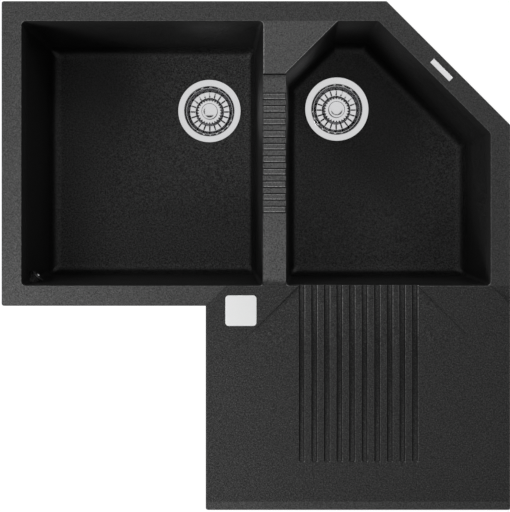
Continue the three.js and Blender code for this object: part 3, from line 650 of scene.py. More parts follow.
def tray_ribs(x0, x1, y0, y1):
    """Stiffening ribs under the drainer."""
    pitch = (x1 - x0) / TRAY_RIBS
    first = x0 + pitch / 2
    rib = block("tray_rib", first - TRAY_RIB_WIDE / 2, first + TRAY_RIB_WIDE / 2, y0, y1,
                -TRAY - TRAY_RIB_DEEP, -TRAY + 1)
    return repeat(rib, TRAY_RIBS, "granite", pitch=(pitch, 0, 0))


def deck_dip():
    """The slope that leads the drainer's water into the bowl."""
    first = FIRST_GROOVE - GROOVE_WIDTH / 2
    last = 2 * DRAINER_X - first
    far, near = BOWL_FRONT - DIP_LENGTH, BOWL_FRONT + WALL
    near_z = RIM_TOP - DIP_DEPTH * (DIP_LENGTH + WALL) / DIP_LENGTH
    floor = [(first - DIP_LENGTH, far, RIM_TOP), (last + DIP_LENGTH, far, RIM_TOP), (last - WALL, near, near_z),
             (first + WALL, near, near_z)]
    return loft("dip", [floor, lift(floor, ABOVE)])


# Each clip's edge of the outline, as its two corners and the share of the way between them.
CLIP_SPOTS = [(6, 0, 0.45), (5, 6, 0.68), (4, 5, 0.5), (3, 4, 0.75), (3, 4, 0.2), (2, 3, 0.5), (1, 2, 0.6),
              (0, 1, 0.55)]
CLIP_INSET, CLIP_PLATE_Z, CLIP_FOOT_Z = 20.5, -24, -44
CLIP_THICK, CLIP_WIDTH, CLIP_LEG, CLIP_REACH, CLIP_LIP = 1.5, 10, 4.2, 19, 2.5
SCREW_SHANK, SCREW_HEAD, SCREW_HEAD_THICK, SCREW_LENGTH = 2, 3.6, 2.4, 20
BOSS_WIDTH, BOSS_DEEP, BOSS_DRAINER = 26, 10, 16
OVERFLOW_DEPTH, OVERFLOW_FACE, OVERFLOW_BACK, OVERFLOW_BOSS, OVERFLOW_HOLE = 65, 18, 17, 17, 9


def clip_place(spot):
    """A clip's screw point, and the matrix that takes a piece there with its +X outwards."""
    a, b = OUTLINE[spot[0]], OUTLINE[spot[1]]
    along = unit(a, b)
    outwards = (along[1], -along[0])
    x = a[0] + (b[0] - a[0]) * spot[2] - outwards[0] * CLIP_INSET
    y = a[1] + (b[1] - a[1]) * spot[2] - outwards[1] * CLIP_INSET
    turn = Matrix.Rotation(math.atan2(outwards[1], outwards[0]), 4, "Z")
    return x, y, Matrix.Translation((x * MM, y * MM, 0)) @ turn


def clip_bosses():
    """Blocks under the rim that take the clip screws."""
    made = []
    for spot in CLIP_SPOTS:
        _, y, place = clip_place(spot)
        drainer = y < BOWL_FRONT - 40
        deep, wide = (BOSS_DRAINER, BOSS_DRAINER) if drainer else (BOSS_DEEP, BOSS_WIDTH)
        box = block("boss", -deep, CLIP_WIDTH / 2, -wide / 2, wide / 2, CLIP_PLATE_Z, 1)
        made.append(turn_and_move(box, place))
    return made


def facing_bowl(body):
    """Lays a piece turned about Z along the main bowl's front left corner, its +Z facing into the bowl."""
    corner = shift(LEFT + RIM, BOWL_FRONT, RIM_TOP - OVERFLOW_DEPTH)
    return turn_and_move(body, corner @ Matrix.Rotation(math.pi / 4, 4, "Z") @ Matrix.Rotation(math.pi / 2, 4, "Y"))


def seal_track(clearance):
    """The foam strip's groove under the rim, or with no clearance the strip itself."""
    edge, wide, thick = 3, 8, 2.7
    top = thick + clearance
    outer = prism("track", inset(OUTLINE, edge - clearance), -1 if clearance else 0, top)
    return cut(outer, prism("inner", inset(OUTLINE, edge + wide + clearance), -2, top + 1))


def sink_body():
    """The whole moulding, joined and cut from its own solids."""
    half = DIVIDER / 2
    x0, x1, y0, y1 = NOTCH_X + SEAT_STRIP, RIGHT - SEAT_STRIP, FRONT + SEAT_STRIP, BOWL_FRONT - WALL / 2
    middle = (y0 + y1) / 2
    tap_y = REAR - TAP_FROM_REAR
    body = rim_slab()
    join(body, bowl_outside(MAIN_OPENING, MAIN_DEPTH), bowl_outside(SMALL_OPENING, SMALL_DEPTH),
         block("web", -half, half, BOWL_FRONT - RIM / 2, LEDGE_STEP + 2, DIVIDER_Z - DIVIDER_DEEP, EDGE_Z - 1),
         block("tray", x0, x1, y0, y1, -TRAY, 1), tray_ribs(x0, x1, y0, y1),
         block("cross", x0, x1, middle - TRAY_RIB_WIDE / 2, middle + TRAY_RIB_WIDE / 2, -TRAY - TRAY_RIB_DEEP, -6),
         cylinder("tap_pad", TAP_PAD, -TAP_PAD_DEEP, 1, TAP_X, tap_y),
         facing_bowl(cylinder("overflow_boss", OVERFLOW_BOSS, -OVERFLOW_BACK, 0)), *clip_bosses())
    for x, depth in WASTES.values():
        under = RIM_TOP - depth - WALL
        join(body, cylinder("waste_pad", PAD_RADIUS, under - PAD_DEEP, under + 1, x, WASTE_Y, 96))
    cut(body, bowl_inside(MAIN_OPENING, MAIN_DEPTH, -WASTE_OFFSET),
        bowl_inside(SMALL_OPENING, SMALL_DEPTH, WASTE_OFFSET),
        block("trench", -half - 1, half + 1, BOWL_FRONT, LEDGE_STEP, DIVIDER_Z, ABOVE), deck_dip())
    join(body, facing_bowl(cylinder("overflow_pad", OVERFLOW_BOSS, -4, OVERFLOW_FACE)))
    clean(body)
    soften(body, 1.8, 3, 28)
    join(body, divider_ribs())
    cut(body, rib_channels(), step_channel(), drainer_grooves(),
        cylinder("knock_out", TAP_RADIUS, -20, RIM_TOP - TAP_SKIN, TAP_X, tap_y), seal_track(GAP),
        facing_bowl(cylinder("overflow_hole", OVERFLOW_HOLE, -OVERFLOW_BACK - 5, OVERFLOW_FACE + 5)))
    for x, depth in WASTES.values():
        floor = RIM_TOP - depth - FLOOR_FALL
        seat = floor - SEAL_THICK - FLANGE_THICK - 2 * GAP
        cut(body, cylinder("seat", FLANGE_RADIUS + 0.6, seat, floor + 6, x, WASTE_Y, 96),
            cylinder("through", CUP_RADIUS + STEEL + 0.6, floor - 40, floor, x, WASTE_Y, 96))
    for spot in CLIP_SPOTS:
        x, y, _ = clip_place(spot)
        cut(body, cylinder("screw_hole", SCREW_SHANK + 0.2, CLIP_PLATE_Z - 1, CLIP_PLATE_Z + 21, x, y, 24))
    soften(body, 0.5, 2, 35)
    return smooth(body, 40)


# ---- basket wastes, z = 0 at the flange's top
CUP_SHOULDER, CUP_THROAT_Z, CUP_THROAT, CUP_FLOOR = -25, -33, 24, -43
BASKET_TOP, CONE_TOP, CONE_TOP_Z, CONE_END, CONE_END_Z = -3.5, 36, -15.4, 25.4, -17.6
CAP_RADIUS, CAP_Z, CAP_THICK, SPINDLE, SPINDLE_HOLE = 22.4, -10, 2.4, 3, 3.4
NECK_Z, OUTLET_Z, OUTLET, THREAD_PITCH, THREAD_DEEP = -58, -84, 23.8, 3.2, 1.1
PAD_UNDER = -(WALL + PAD_DEEP - FLOOR_FALL)


def arc(x, z, radius, start, end, steps=6):
    """Points of a profile's arc, by angles in degrees."""
    turn = [math.radians(start + (end - start) * k / steps) for k in range(steps + 1)]
    return [(x + radius * math.cos(a), z + radius * math.sin(a)) for a in turn]


def waste_flange():
    """The pressed steel flange and cup with its drain holes."""
    t, rim, cup, throat, floor = STEEL, FLANGE_RADIUS, CUP_RADIUS, CUP_THROAT, CUP_FLOOR
    shoulder_z, throat_z = CUP_SHOULDER, CUP_THROAT_Z
    profile = [(cup + t, -FLANGE_THICK), (rim - 0.3, -FLANGE_THICK), (rim, -1.3),
               *arc(rim - 1.2, -1.2, 1.2, 0, 75, 5), (rim - 4, -0.05), (rim - 7, -0.35),
               *arc(cup + 2.6, -2.9, 2.6, 85, 180, 8), (cup, -9), (cup, -17),
               *arc(cup - 4, shoulder_z + 1, 4, 0, -62, 6), (throat + 6, throat_z + 2.6),
               *arc(throat + 3, throat_z - 1.6, 3, 118, 180, 5), (throat, floor + 1.5),
               *arc(throat - 1.5, floor + 1.5, 1.5, 0, -90, 4), (18, floor), (SPINDLE_HOLE, floor),
               (SPINDLE_HOLE, floor - t), (throat, floor - t), (throat + t, floor), (throat + t, throat_z - 1.8),
               (cup - 3.4, shoulder_z - 3.9), (cup - 0.6, shoulder_z - 2.6), (cup + t, shoulder_z)]
    drain = cylinder("drain", 4.6, floor - 3, floor + 3, 14.5, 0, 24)
    return cut(turned("flange", profile, 128), repeat(drain, 6, "polished_steel", ring=True))


def strainer_basket():
    """The pressed basket: a rolled rim, a slotted cone and a perforated floor round a raised hub."""
    sizes = bpy.context.scene.sink_sizes
    rim, top, top_z, end, end_z = CUP_RADIUS - 1.8, CONE_TOP, CONE_TOP_Z, CONE_END, CONE_END_Z
    floor = end_z - 3.4
    seat = CAP_Z - CAP_THICK - GAP
    profile = [(SPINDLE_HOLE, floor - 1), (end - 6, floor - 1), (end - 4.6, floor - 0.8), (end + 0.4, end_z - 1),
               (top + 0.2, top_z - 1.2), (top + 1.2, top_z - 0.4), (rim - 0.1, BASKET_TOP - 2.4),
               *arc(rim - 0.6, BASKET_TOP - 0.6, 0.6, 0, 180, 8), (top + 0.2, top_z + 0.9), (top - 0.6, top_z - 0.1),
               (end + 0.8, end_z + 0.2), (end - 0.4, end_z - 0.3), (end - 5, floor), (6.8, floor), (6.2, floor + 0.7),
               (5.4, seat), (SPINDLE_HOLE, seat)]
    middle, half, wide = (top + end) / 2 - 0.2, (top - end - 1.4) / 2, sizes.slot_width / MM
    outline = rounded(rectangle(middle - half, middle + half, -wide / 2, wide / 2), wide * 0.49, 4)
    units = (prism("slot", outline, -27, -9), cylinder("hole", 1.0, -25, -16, 24, 0, 12))
    rows = [repeat(unit, sizes.slot_count, "polished_steel", ring=True) for unit in units]
    return soften(cut(turned("basket", profile, 160), *rows), 0.15, 2, 40)


def basket_cap():
    """The shallow domed cap with its scalloped edge."""
    lobes = bpy.context.scene.sink_sizes.scallops
    count = lobes * 8
    edge, high = CAP_RADIUS, CAP_Z
    under = high - CAP_THICK
    rows = [(edge - 0.8, under, 1), (edge - 0.2, under + 0.4, 1), (edge, high - 1.5, 1), (edge - 0.3, high - 1, 1),
            (edge - 1, high - 0.65, 0.9), (edge - 2.6, high - 0.4, 0.35), (edge - 4.5, high - 0.2, 0), (11, high, 0),
            (SPINDLE_HOLE, high, 0), (SPINDLE_HOLE, under, 0)]
    rings = []
    for radius, z, share in rows:
        ring = []
        for i in range(count):
            angle = math.tau * i / count
            reach = radius - 2.3 * share * (0.5 - 0.5 * math.cos(lobes * angle)) ** 3
            ring.append((reach * math.cos(angle), reach * math.sin(angle), z))
        rings.append(ring)
    return loft("cap", rings, closed=True)


def basket_knob():
    foot = CAP_Z + GAP
    top = CAP_Z + 6.2
    profile = [(0, -29), (SPINDLE - 0.5, -29), (SPINDLE, -28.5), (SPINDLE, foot), (8.6, foot), (9, foot + 0.4),
               *arc(9 + 3.2, foot + 0.2, 3.2, 178, 95, 6), *arc(13.2, foot + 4.4, 1.6, -60, 80, 9),
               (11.8, top - 0.15), (10, top - 0.75), (7.5, top - 1.45), (4.5, top - 1.95), (2, top - 2.15),
               (0, top - 2.2)]
    return turned("knob", profile)


def basket_stopper():
    top = CONE_END_Z - 4.4 - GAP
    r, z = CUP_THROAT, CUP_THROAT_Z
    profile = [(0, -40), (7.4, -40), (8.2, -39.6), (10, -38), (21.6, -37.2), (22.9, -36.4), (r - 0.6, -34.6),
               (r + 0.7, z + 0.6), (r + 0.9, z + 1.5), (r + 0.2, z + 2.5), (21, z + 2.9), (9, z + 3.6), (6, z + 4.6),
               (4.6, top), (SPINDLE_HOLE, top), (SPINDLE_HOLE, -29.4), (0, -29.4)]
    return turned("stopper", profile)


def threaded(body, low, high, crest):
    """Turns the straight outside between two heights into a rounded thread."""
    for vertex in body.data.vertices:
        x, y, z = vertex.co / MM
        reach = math.hypot(x, y)
        if low < z < high and abs(reach - crest) < 0.01:
            turn = (z / THREAD_PITCH - math.atan2(y, x) / math.tau) % 1
            fade = min(1, (high - z) / 2, (z - low) / 1.5)
            deep = THREAD_DEEP * fade * min(1, max(0, 2.4 * abs(turn - 0.5) - 0.1))
            vertex.co.xy *= (reach - deep) / reach
    return body


def waste_housing():
    """The moulded body under the bowl, with its collar, threaded outlet and screw boss."""
    top = PAD_UNDER - SEAL_THICK - 2 * GAP
    inside = CUP_RADIUS + STEEL + 2
    bore = OUTLET - 3.6
    collar = FLANGE_RADIUS - 3
    steps = 56
    thread = [(OUTLET, OUTLET_Z + 0.8 + (NECK_Z - 3.6 - OUTLET_Z) * k / steps) for k in range(steps + 1)]
    profile = [(collar - 0.4, top - 4), (collar, top - 3.6), (collar, top - 0.4), (collar - 0.4, top), (inside, top),
               (inside, -34), (45, -38.5), (30, NECK_Z + 6), (26.5, NECK_Z + 3.4), (bore, NECK_Z), (bore, OUTLET_Z),
               (OUTLET - 1, OUTLET_Z), *thread, (OUTLET, NECK_Z - 2.4), (27, NECK_Z - 0.6), (31.5, NECK_Z + 3.5),
               (48.6, -39.6), (inside + 3, -36), (inside + 3, top - 4)]
    shell = turned("housing", profile)
    threaded(shell, OUTLET_Z + 0.5, NECK_Z - 3, OUTLET)
    hub_top = CUP_FLOOR - STEEL - GAP
    hub = turned("hub", [(2.6, NECK_Z), (7.4, NECK_Z), (8, NECK_Z + 0.6), (8, hub_top), (2.6, hub_top)], 48)
    bars = cut(crossed_bars(29, 1.7, NECK_Z + 0.4, NECK_Z + 6), cylinder("core", 4, NECK_Z - 2, NECK_Z + 8))
    rib = soften(block("grip_rib", 48.6, 51.4, -1.2, 1.2, top - 14, top - 3), 0.5, 2)
    return soften(join(shell, hub, bars, repeat(rib, 12, "plastic", ring=True)), 0.3, 2, 40)


def crossed_bars(long, narrow, low, high):
    """Two bars that cross at right angles; both lengths are half of the real ones."""
    return join(*[block("bar", -a, a, -b, b, low, high) for a, b in ((long, narrow), (narrow, long))])


def cross_recess(body, radius, mouth, deep):
    """Cuts a cross recess into a screw head at the height of its mouth."""
    return cut(body, crossed_bars(radius, radius * 0.28, mouth - deep, mouth + deep))


def fixing_screw():
    seat = CUP_FLOOR + GAP
    body = turned("fixing", [(0, NECK_Z + 1), (1.9, NECK_Z + 1), (2.3, NECK_Z + 1.5), (2.3, CUP_FLOOR - 1),
                             (3, CUP_FLOOR - 1), (3, seat), (6.5, seat), *arc(5.2, seat + 0.6, 1.3, -20, 80, 6),
                             (3.2, CUP_FLOOR + 2.4), (0, CUP_FLOOR + 2.6)], 48)
    return cross_recess(body, 3, CUP_FLOOR + 2.6, 1.4)


def seal_ring(inner, outer, high, thick=SEAL_THICK):
    r = 0.45
    low, inside, outside = high - thick + r, inner + r, outer - r
    profile = [*arc(inside, low, r, 180, 270, 3), *arc(outside, low, r, 270, 360, 3),
               *arc(outside, high - r, r, 0, 90, 3), *arc(inside, high - r, r, 90, 180, 3)]
    return turned("seal", profile)


def flange_seal():
    return seal_ring(CUP_RADIUS + STEEL + 1.6, FLANGE_RADIUS - 1, -FLANGE_THICK - GAP)


def under_seal():
    return seal_ring(CUP_RADIUS + STEEL + 2.4, FLANGE_RADIUS - 4, PAD_UNDER - GAP)


# ---- clips, overflow, label and plate
def clip_shape():
    """A bent steel strip with its foot along +X, a round tail at the screw and teeth along its lip."""
    top = CLIP_PLATE_Z - GAP
    t = CLIP_THICK
    plate, foot, leg, lip, bend = top - t / 2, CLIP_FOOT_Z + t / 2, CLIP_LEG + t / 2, CLIP_REACH - t / 2, 2.2
    line = [*[(x, plate) for x in (-CLIP_WIDTH / 2, -4.4, -3, -1, 1)],
            *arc(leg - bend, plate - bend, bend, 90, 0, 5), *arc(leg + bend, foot + bend, bend, 180, 270, 5),
            (CLIP_REACH - 5, foot), (lip - 1.4, foot), (lip - 0.4, foot + 0.5), (lip, foot + 1.5),
            (lip, CLIP_FOOT_Z + t + CLIP_LIP)]
    columns = 12
    points, faces = [], []
    last = len(line) - 1
    for i, (x, z) in enumerate(line):
        run = unit(line[max(i - 1, 0)], line[min(i + 1, last)])
        half = math.sqrt(max(0.6, 25 - min(0, x + 0.3) ** 2)) if x < 0 else CLIP_WIDTH / 2
        for side in (0.5, -0.5):
            for c in range(columns + 1):
                tooth = -0.9 if i == last and c % 2 else 0
                points.append((x - run[1] * t * side, half * (2 * c / columns - 1), z + run[0] * t * side + tooth))
    row = columns + 1

    def at(i, side, c):
        return (i * 2 + side) * row + c

    for i in range(last):
        for c in range(columns):
            faces.append((at(i, 0, c), at(i + 1, 0, c), at(i + 1, 0, c + 1), at(i, 0, c + 1)))
            faces.append((at(i, 1, c + 1), at(i + 1, 1, c + 1), at(i + 1, 1, c), at(i, 1, c)))
        faces.append((at(i, 1, 0), at(i + 1, 1, 0), at(i + 1, 0, 0), at(i, 0, 0)))
        faces.append((at(i, 0, columns), at(i + 1, 0, columns), at(i + 1, 1, columns), at(i, 1, columns)))
    for c in range(columns):
        faces.append((at(0, 0, c), at(0, 0, c + 1), at(0, 1, c + 1), at(0, 1, c)))
        faces.append((at(last, 0, c + 1), at(last, 0, c), at(last, 1, c), at(last, 1, c + 1)))
    clip = face_outwards(shape("clip", points, faces))
    cut(clip, cylinder("eye", SCREW_SHANK + 0.4, top - 5, top + 5, segments=32))
    return soften(clip, 0.25, 2, 40)


def face_outwards(body):
    work = bmesh.new()
    work.from_mesh(body.data)
    bmesh.ops.recalc_face_normals(work, faces=work.faces)
    work.to_mesh(body.data)
    work.free()
    return body


def clip_screw():
    """A pan head screw with a fine thread, head downwards."""
    head_top = CLIP_PLATE_Z - CLIP_THICK - 2 * GAP
    end = CLIP_PLATE_Z + SCREW_LENGTH
    low = head_top - SCREW_HEAD_THICK
    thread = []
    turns = 14
    for k in range(turns):
        z = head_top + 1.6 + k * (end - head_top - 4) / turns
        thread += [(SCREW_SHANK - 0.5, z), (SCREW_SHANK, z + 0.5), (SCREW_SHANK - 0.5, z + 0.9)]
    body = turned("clip_screw", [(0, low), (2, low + 0.1), *arc(SCREW_HEAD - 1, low + 1.2, 1, -80, 0, 5),
                                 (SCREW_HEAD, head_top), (SCREW_SHANK, head_top), *thread,
                                 (SCREW_SHANK - 0.5, end - 2), (0, end)], 32)
    return cross_recess(body, 1.9, low, 1.2)


def overflow_cover():
    low = OVERFLOW_FACE + GAP
    profile = [(0, low), (11.6, low), (12, low + 0.4), *arc(10.8, low + 0.8, 1.2, 0, 90, 6), (0, low + 2)]
    port = cylinder("port", 1.7, low - 2, low + 5, 6.6, 0, 24)
    body = cut(turned("cover", profile, 64), repeat(port, 8, "plastic", ring=True),
               cylinder("eye", 2.4, low - 2, low + 5))
    return facing_bowl(soften(body, 0.25, 2, 40))


def overflow_screw():
    seat, tip = OVERFLOW_FACE + 2 * GAP + 2, OVERFLOW_FACE - 14
    body = turned("overflow_screw", [(0, tip), (1.6, tip), (2, tip + 0.6), (2, seat), (3.8, seat),
                                     *arc(2.8, seat + 0.7, 1, 0, 70, 5), (0, seat + 2.2)], 40)
    return facing_bowl(cross_recess(body, 1.9, seat + 2.2, 1.1))


def overflow_seal():
    return facing_bowl(seal_ring(OVERFLOW_HOLE + 0.8, 15, -OVERFLOW_BACK - GAP, 2))


def overflow_elbow():
    """The moulded elbow behind the bowl, with its flange, pipe, hose tail and screw post."""
    flange, thick, pipe, wall, length, post, tail, behind, drop = 16, 3, 10.5, 2.2, 14, 4, 9.5, 0.7, 46
    face = -OVERFLOW_BACK - 2 - 2 * GAP
    back = face - thick - length
    step = (face - thick - behind - tail) / math.sqrt(2)
    x, y = LEFT + RIM + step, BOWL_FRONT + step
    z = RIM_TOP - OVERFLOW_DEPTH
    profile = [(0, back), (pipe - 1, back), (pipe, back + 1), (pipe, face - thick), (flange - 0.5, face - thick),
               (flange, face - thick + 0.5), (flange, face - 0.5), (flange - 0.5, face), (0, face)]
    low = z - drop
    barb = [(0, low), (tail - 1.2, low)]
    for k in range(4):
        barb += [(tail, low + 2 + 6 * k), (tail, low + 3 + 6 * k), (tail - 0.9, low + 7.6 + 6 * k)]
    barb += [(tail, low + 28), (tail, z - 2), (tail - 1.4, z), (0, z)]
    body = join(facing_bowl(turned("elbow", profile, 64)), turned("tail", barb, 64, x, y))
    cut(body, facing_bowl(cylinder("bore", pipe - wall, back + wall, face + 1)),
        cylinder("tail_bore", tail - wall, low - 1, z - post, x, y))
    join(body, facing_bowl(cylinder("post", post, back + 1, OVERFLOW_FACE - 8, segments=40)))
    cut(body, facing_bowl(cylinder("post_hole", 2.3, OVERFLOW_FACE - 16, OVERFLOW_FACE, segments=32)))
    return soften(body, 0.4, 2, 40)


def corner_label():
    wide, high, radius, thick, x, from_notch = 50.6, 49.7, 5.7, 0.4, -54.6, 7.6
    outline = rounded(rectangle(-wide / 2, wide / 2, -high / 2, high / 2), radius, 10)
    rings = [lift(outline, 0), lift(outline, thick - 0.1), lift(inset(outline, 0.12), thick)]
    return turn_and_move(loft("label", rings), shift(x, NOTCH_Y - from_notch, RIM_TOP))


def rim_plate():
    long, wide, thick, glue = 44, 9, 0.8, 0.05
    slope = math.atan2(RIM_FALL, RIM - ARRIS)
    inwards = RIM / 2 / math.sqrt(2)
    x = (OUTLINE[4][0] + OUTLINE[5][0]) / 2 - inwards
    y = (OUTLINE[4][1] + OUTLINE[5][1]) / 2 - inwards
    z = EDGE_Z + RIM_FALL * (RIM / 2 - ARRIS) / (RIM - ARRIS)
    body = soften(block("plate", -long / 2, long / 2, -wide / 2, wide / 2, 0, thick), 0.3, 3)
    lie = Matrix.Rotation(-math.pi / 4, 4, "Z") @ Matrix.Rotation(-slope, 4, "X")
    return turn_and_move(body, shift(x, y, z + glue) @ lie)


# ---- what a user may change
class SinkSizes(bpy.types.PropertyGroup):
    """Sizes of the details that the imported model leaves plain."""
    slot_count: bpy.props.IntProperty(name="Slots", description="Slots round each strainer basket", default=20,
                                      min=8, max=40)
    slot_width: bpy.props.FloatProperty(name="Slot width", description="Width of a strainer slot", default=0.0026,
                                        unit="LENGTH", precision=4)
    scallops: bpy.props.IntProperty(name="Scallops", description="Scallops round each basket's cap", default=26,
                                    min=8, max=60)


class SinkFinishes(bpy.types.PropertyGroup):
    """Colours of the finishes."""
    granite: bpy.props.FloatVectorProperty(name="Granite", description="Main colour of the composite",
                                           subtype="COLOR", size=3, default=(0.060, 0.060, 0.060), min=0, max=1)
    # Bowl shade darkens the granite inside the bowls: painted shade.
    bowl_shade: bpy.props.FloatProperty(name="Bowl shade", description="Granite's brightness in the smoother bowls",
                                        default=0.78, min=0, max=1, subtype="FACTOR")
    # Edge wear pales the granite on its arrises: a painted highlight.
    edge_wear: bpy.props.FloatProperty(name="Edge wear", description="How much paler the granite's arrises are",
                                       default=2.5, min=0, max=4, subtype="FACTOR")
    # Steep shade darkens the granite on upright faces: painted shade.
    steep_shade: bpy.props.FloatProperty(name="Steep shade", description="Granite's brightness on upright faces",
                                         default=0.2, min=0, max=1, subtype="FACTOR")
    steel: bpy.props.FloatVectorProperty(name="Steel", description="Colour of the polished steel", subtype="COLOR",
                                         size=3, default=(0.66, 0.66, 0.67), min=0, max=1)


class StudioSettings(bpy.types.PropertyGroup):
    """Camera and lamps."""
    camera_height: bpy.props.FloatProperty(name="Camera height", description="Camera's height above the rim",
                                           default=1.84, unit="LENGTH")
    key: bpy.props.FloatProperty(name="Key lamp", description="Power of the low soft lamp at the front left",
                                 default=15.5, unit="POWER")
    side: bpy.props.FloatProperty(name="Side lamp", description="Power of the low soft lamp at the rear left",
                                  default=11, unit="POWER")
    kicker: bpy.props.FloatProperty(name="Kicker", description="Power of the small lamp at the rear right", default=4,
                                    unit="POWER")
    fill: bpy.props.FloatProperty(name="Fill", description="Strength of the even light from all round",
                                  default=0.12, min=0, subtype="FACTOR")


# ---- operators
class SINK_OT_body(bpy.types.Operator):
    """Build the moulded body and the sealing strip under its rim"""
    bl_idname = "sink.body"
    bl_label = "Moulded body"

    def execute(self, context):
        done(sink_body(), "granite", "sink_body")
        done(smooth(soften(seal_track(0), 0.6, 2)), "foam", "rim_seal")
        return {"FINISHED"}


class SINK_OT_wastes(bpy.types.Operator):
    """Build both basket wastes, each piece on the body that it moves with"""
    bl_idname = "sink.wastes"
    bl_label = "Basket wastes"

    def execute(self, context):
        kinds = [(waste_flange, "polished_steel", None), (flange_seal, "rubber", None), (under_seal, "rubber", None),
                 (waste_housing, "plastic", None), (fixing_screw, "plain_steel", None),
                 (strainer_basket, "polished_steel", "basket"), (basket_cap, "polished_steel", "basket"),
                 (basket_knob, "polished_steel", "basket"), (basket_stopper, "rubber", "stopper")]
        for make, slot, moving in kinds:
            for prefix, (x, depth) in WASTES.items():
                piece = turn_and_move(smooth(make(), 35), shift(x, WASTE_Y, RIM_TOP - depth - FLOOR_FALL))
                done(piece, slot, f"{prefix}_{make.__name__}", f"{prefix}_{moving}" if moving else "root")
        return {"FINISHED"}


class SINK_OT_overflow(bpy.types.Operator):
    """Build the overflow's cover, screw, seal and elbow"""
    bl_idname = "sink.overflow"
    bl_label = "Overflow"

    def execute(self, context):
        build(overflow_cover, "plastic")
        build(overflow_screw, "plain_steel")
        build(overflow_seal, "rubber")
        build(overflow_elbow, "plastic")
        return {"FINISHED"}


class SINK_OT_clips(bpy.types.Operator):
    """Build the eight worktop clips and their screws, stowed along the rim"""
    bl_idname = "sink.clips"
    bl_label = "Worktop clips"

    def execute(self, context):
        for number, spot in enumerate(CLIP_SPOTS, 1):
            place = clip_place(spot)[2] @ Matrix.Rotation(-math.pi / 2, 4, "Z")
            clip = turn_and_move(smooth(clip_shape()), place)
            screw = turn_and_move(smooth(clip_screw()), place)
            done(clip, "plain_steel", f"worktop_clip_{number}", f"clip_{number}")
            done(screw, "plain_steel", f"clip_screw_{number}")
        return {"FINISHED"}


class SINK_OT_trim(bpy.types.Operator):
    """Build the blank corner label and the blank plate on the rim"""
    bl_idname = "sink.trim"
    bl_label = "Label and plate"

    def execute(self, context):
        build(corner_label, "label")
        build(rim_plate, "plain_steel")
        return {"FINISHED"}


class SINK_OT_stage(bpy.types.Operator):
    """Set up the camera straight above, the lamps, the white surroundings and the floor"""
    bl_idname = "sink.stage"
    bl_label = "Studio"

    def execute(self, context):
        studio = context.scene.sink_studio
        camera(context.scene, studio.camera_height)
        lamp("key", studio.key, 212, 23, 1.2, 0.45, False)
        lamp("side", studio.side, 125, 26, 1.8, 0.7, False)
        lamp("kicker", studio.kicker, 42, 34, 1.8, 0.3, True)
        surroundings(context.scene, studio.fill)
        context.scene.view_settings.view_transform = "Standard"
        return {"FINISHED"}


def camera(scene, height):
    """A camera straight above; the picture's scale on the rim and its slight shift set the lens."""
    picture = 0.8346  # metres across the picture on the plane of the rim
    centre, shift = (-0.0317, -0.3716), -0.0313
    seen = bpy.data.cameras.new("camera")
    seen.sensor_fit = "VERTICAL"
    seen.angle = 2 * math.atan(picture / 2 / height)
    seen.shift_y = shift
    made = bpy.data.objects.new("camera", seen)
    made.location = (*centre, height + EDGE_Z * MM)
    scene.collection.objects.link(made)
    scene.camera = made


def lamp(name, power, azimuth, elevation, distance, size, glint):
    """A round soft lamp that faces the sink; angles in degrees, azimuth from +X; glint shows it in gloss."""
    turn, rise = math.radians(azimuth), math.radians(elevation)
    way = Vector((math.cos(turn), math.sin(turn), math.tan(rise)))
    data = bpy.data.lights.new(name, "AREA")
    data.energy = power
    data.shape = "DISK"
    data.size = size
    made = bpy.data.objects.new(name, data)
    made.location = Vector((0, (REAR + FRONT) / 2 * MM, 0)) + way.normalized() * distance
    made.rotation_euler = (-way).to_track_quat("-Z", "Y").to_euler()
    made.visible_camera = False
    made.visible_glossy = glint
    bpy.context.scene.collection.objects.link(made)


def seen_by(sheet, *rays):
    """One for the camera's rays and the kinds of ray named, and zero for the rest."""
    path = sheet.node("ShaderNodeLightPath")
    seen = path["Is Camera Ray"]
    for ray in rays:
        seen = seen.math("MAXIMUM", path[ray])
    return seen


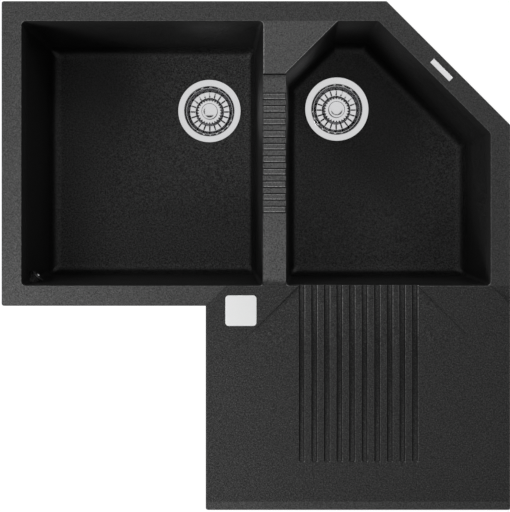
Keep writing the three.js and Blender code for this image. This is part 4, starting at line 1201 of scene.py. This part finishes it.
def surroundings(scene, fill):
    """A world that is white to the camera and in reflections, and a white floor that keeps a soft shadow."""
    white, floor_glow, floor_share = (1, 1, 1, 1), 1.06, 0.93
    scene.world = bpy.data.worlds.new("surroundings")
    sheet = drawn(scene.world)
    light = fill + seen_by(sheet, "Is Glossy Ray", "Is Transmission Ray") * (1 - fill)
    sky = sheet.node("ShaderNodeBackground", {"Color": white, "Strength": light})
    sheet.node("ShaderNodeOutputWorld", {"Surface": sky["Background"]})
    paint = bpy.data.materials.new("floor_white")
    sheet = drawn(paint)
    matt = sheet.node("ShaderNodeBsdfDiffuse", {"Color": (0.9, 0.9, 0.9, 1)})
    glow = sheet.node("ShaderNodeEmission", {"Color": white, "Strength": floor_glow})
    share = seen_by(sheet, "Is Glossy Ray") * floor_share
    both = sheet.node("ShaderNodeMixShader", {0: share, 1: matt["BSDF"], 2: glow["Emission"]})
    sheet.node("ShaderNodeOutputMaterial", {"Surface": both["Shader"]})
    low = CAD_BOX[0][2] / MM
    floor = block("floor", -6000, 6000, -6000, 6000, low - 10, low)
    floor.data.materials.append(paint)


class SINK_PT_panel(bpy.types.Panel):
    """Lists the sink's settings and the steps that build it"""
    bl_idname = "SINK_PT_panel"
    bl_label = "Corner sink"
    bl_space_type = "VIEW_3D"
    bl_region_type = "UI"
    bl_category = "Corner sink"

    def draw(self, context):
        for name in ("sink_sizes", "sink_finishes", "sink_studio"):
            group = getattr(context.scene, name)
            box = self.layout.box()
            for prop in group.bl_rna.properties:
                if prop.identifier not in ("rna_type", "name"):
                    box.prop(group, prop.identifier)
        for step in STEPS:
            self.layout.operator(step.bl_idname)


GROUPS = {"sink_sizes": SinkSizes, "sink_finishes": SinkFinishes, "sink_studio": StudioSettings}
STEPS = (SINK_OT_stage, SINK_OT_body, SINK_OT_wastes, SINK_OT_overflow, SINK_OT_clips, SINK_OT_trim)
CLASSES = (*GROUPS.values(), *STEPS, SINK_PT_panel)


def register():
    for made in CLASSES:
        bpy.utils.register_class(made)
    for name, group in GROUPS.items():
        setattr(bpy.types.Scene, name, bpy.props.PointerProperty(type=group))


def unregister():
    for name in GROUPS:
        delattr(bpy.types.Scene, name)
    for made in reversed(CLASSES):
        bpy.utils.unregister_class(made)


def main():
    """Builds everything in order."""
    register()
    for step in STEPS:
        getattr(bpy.ops.sink, step.bl_idname.split(".")[1])()


if __name__ == "__main__":
    main()
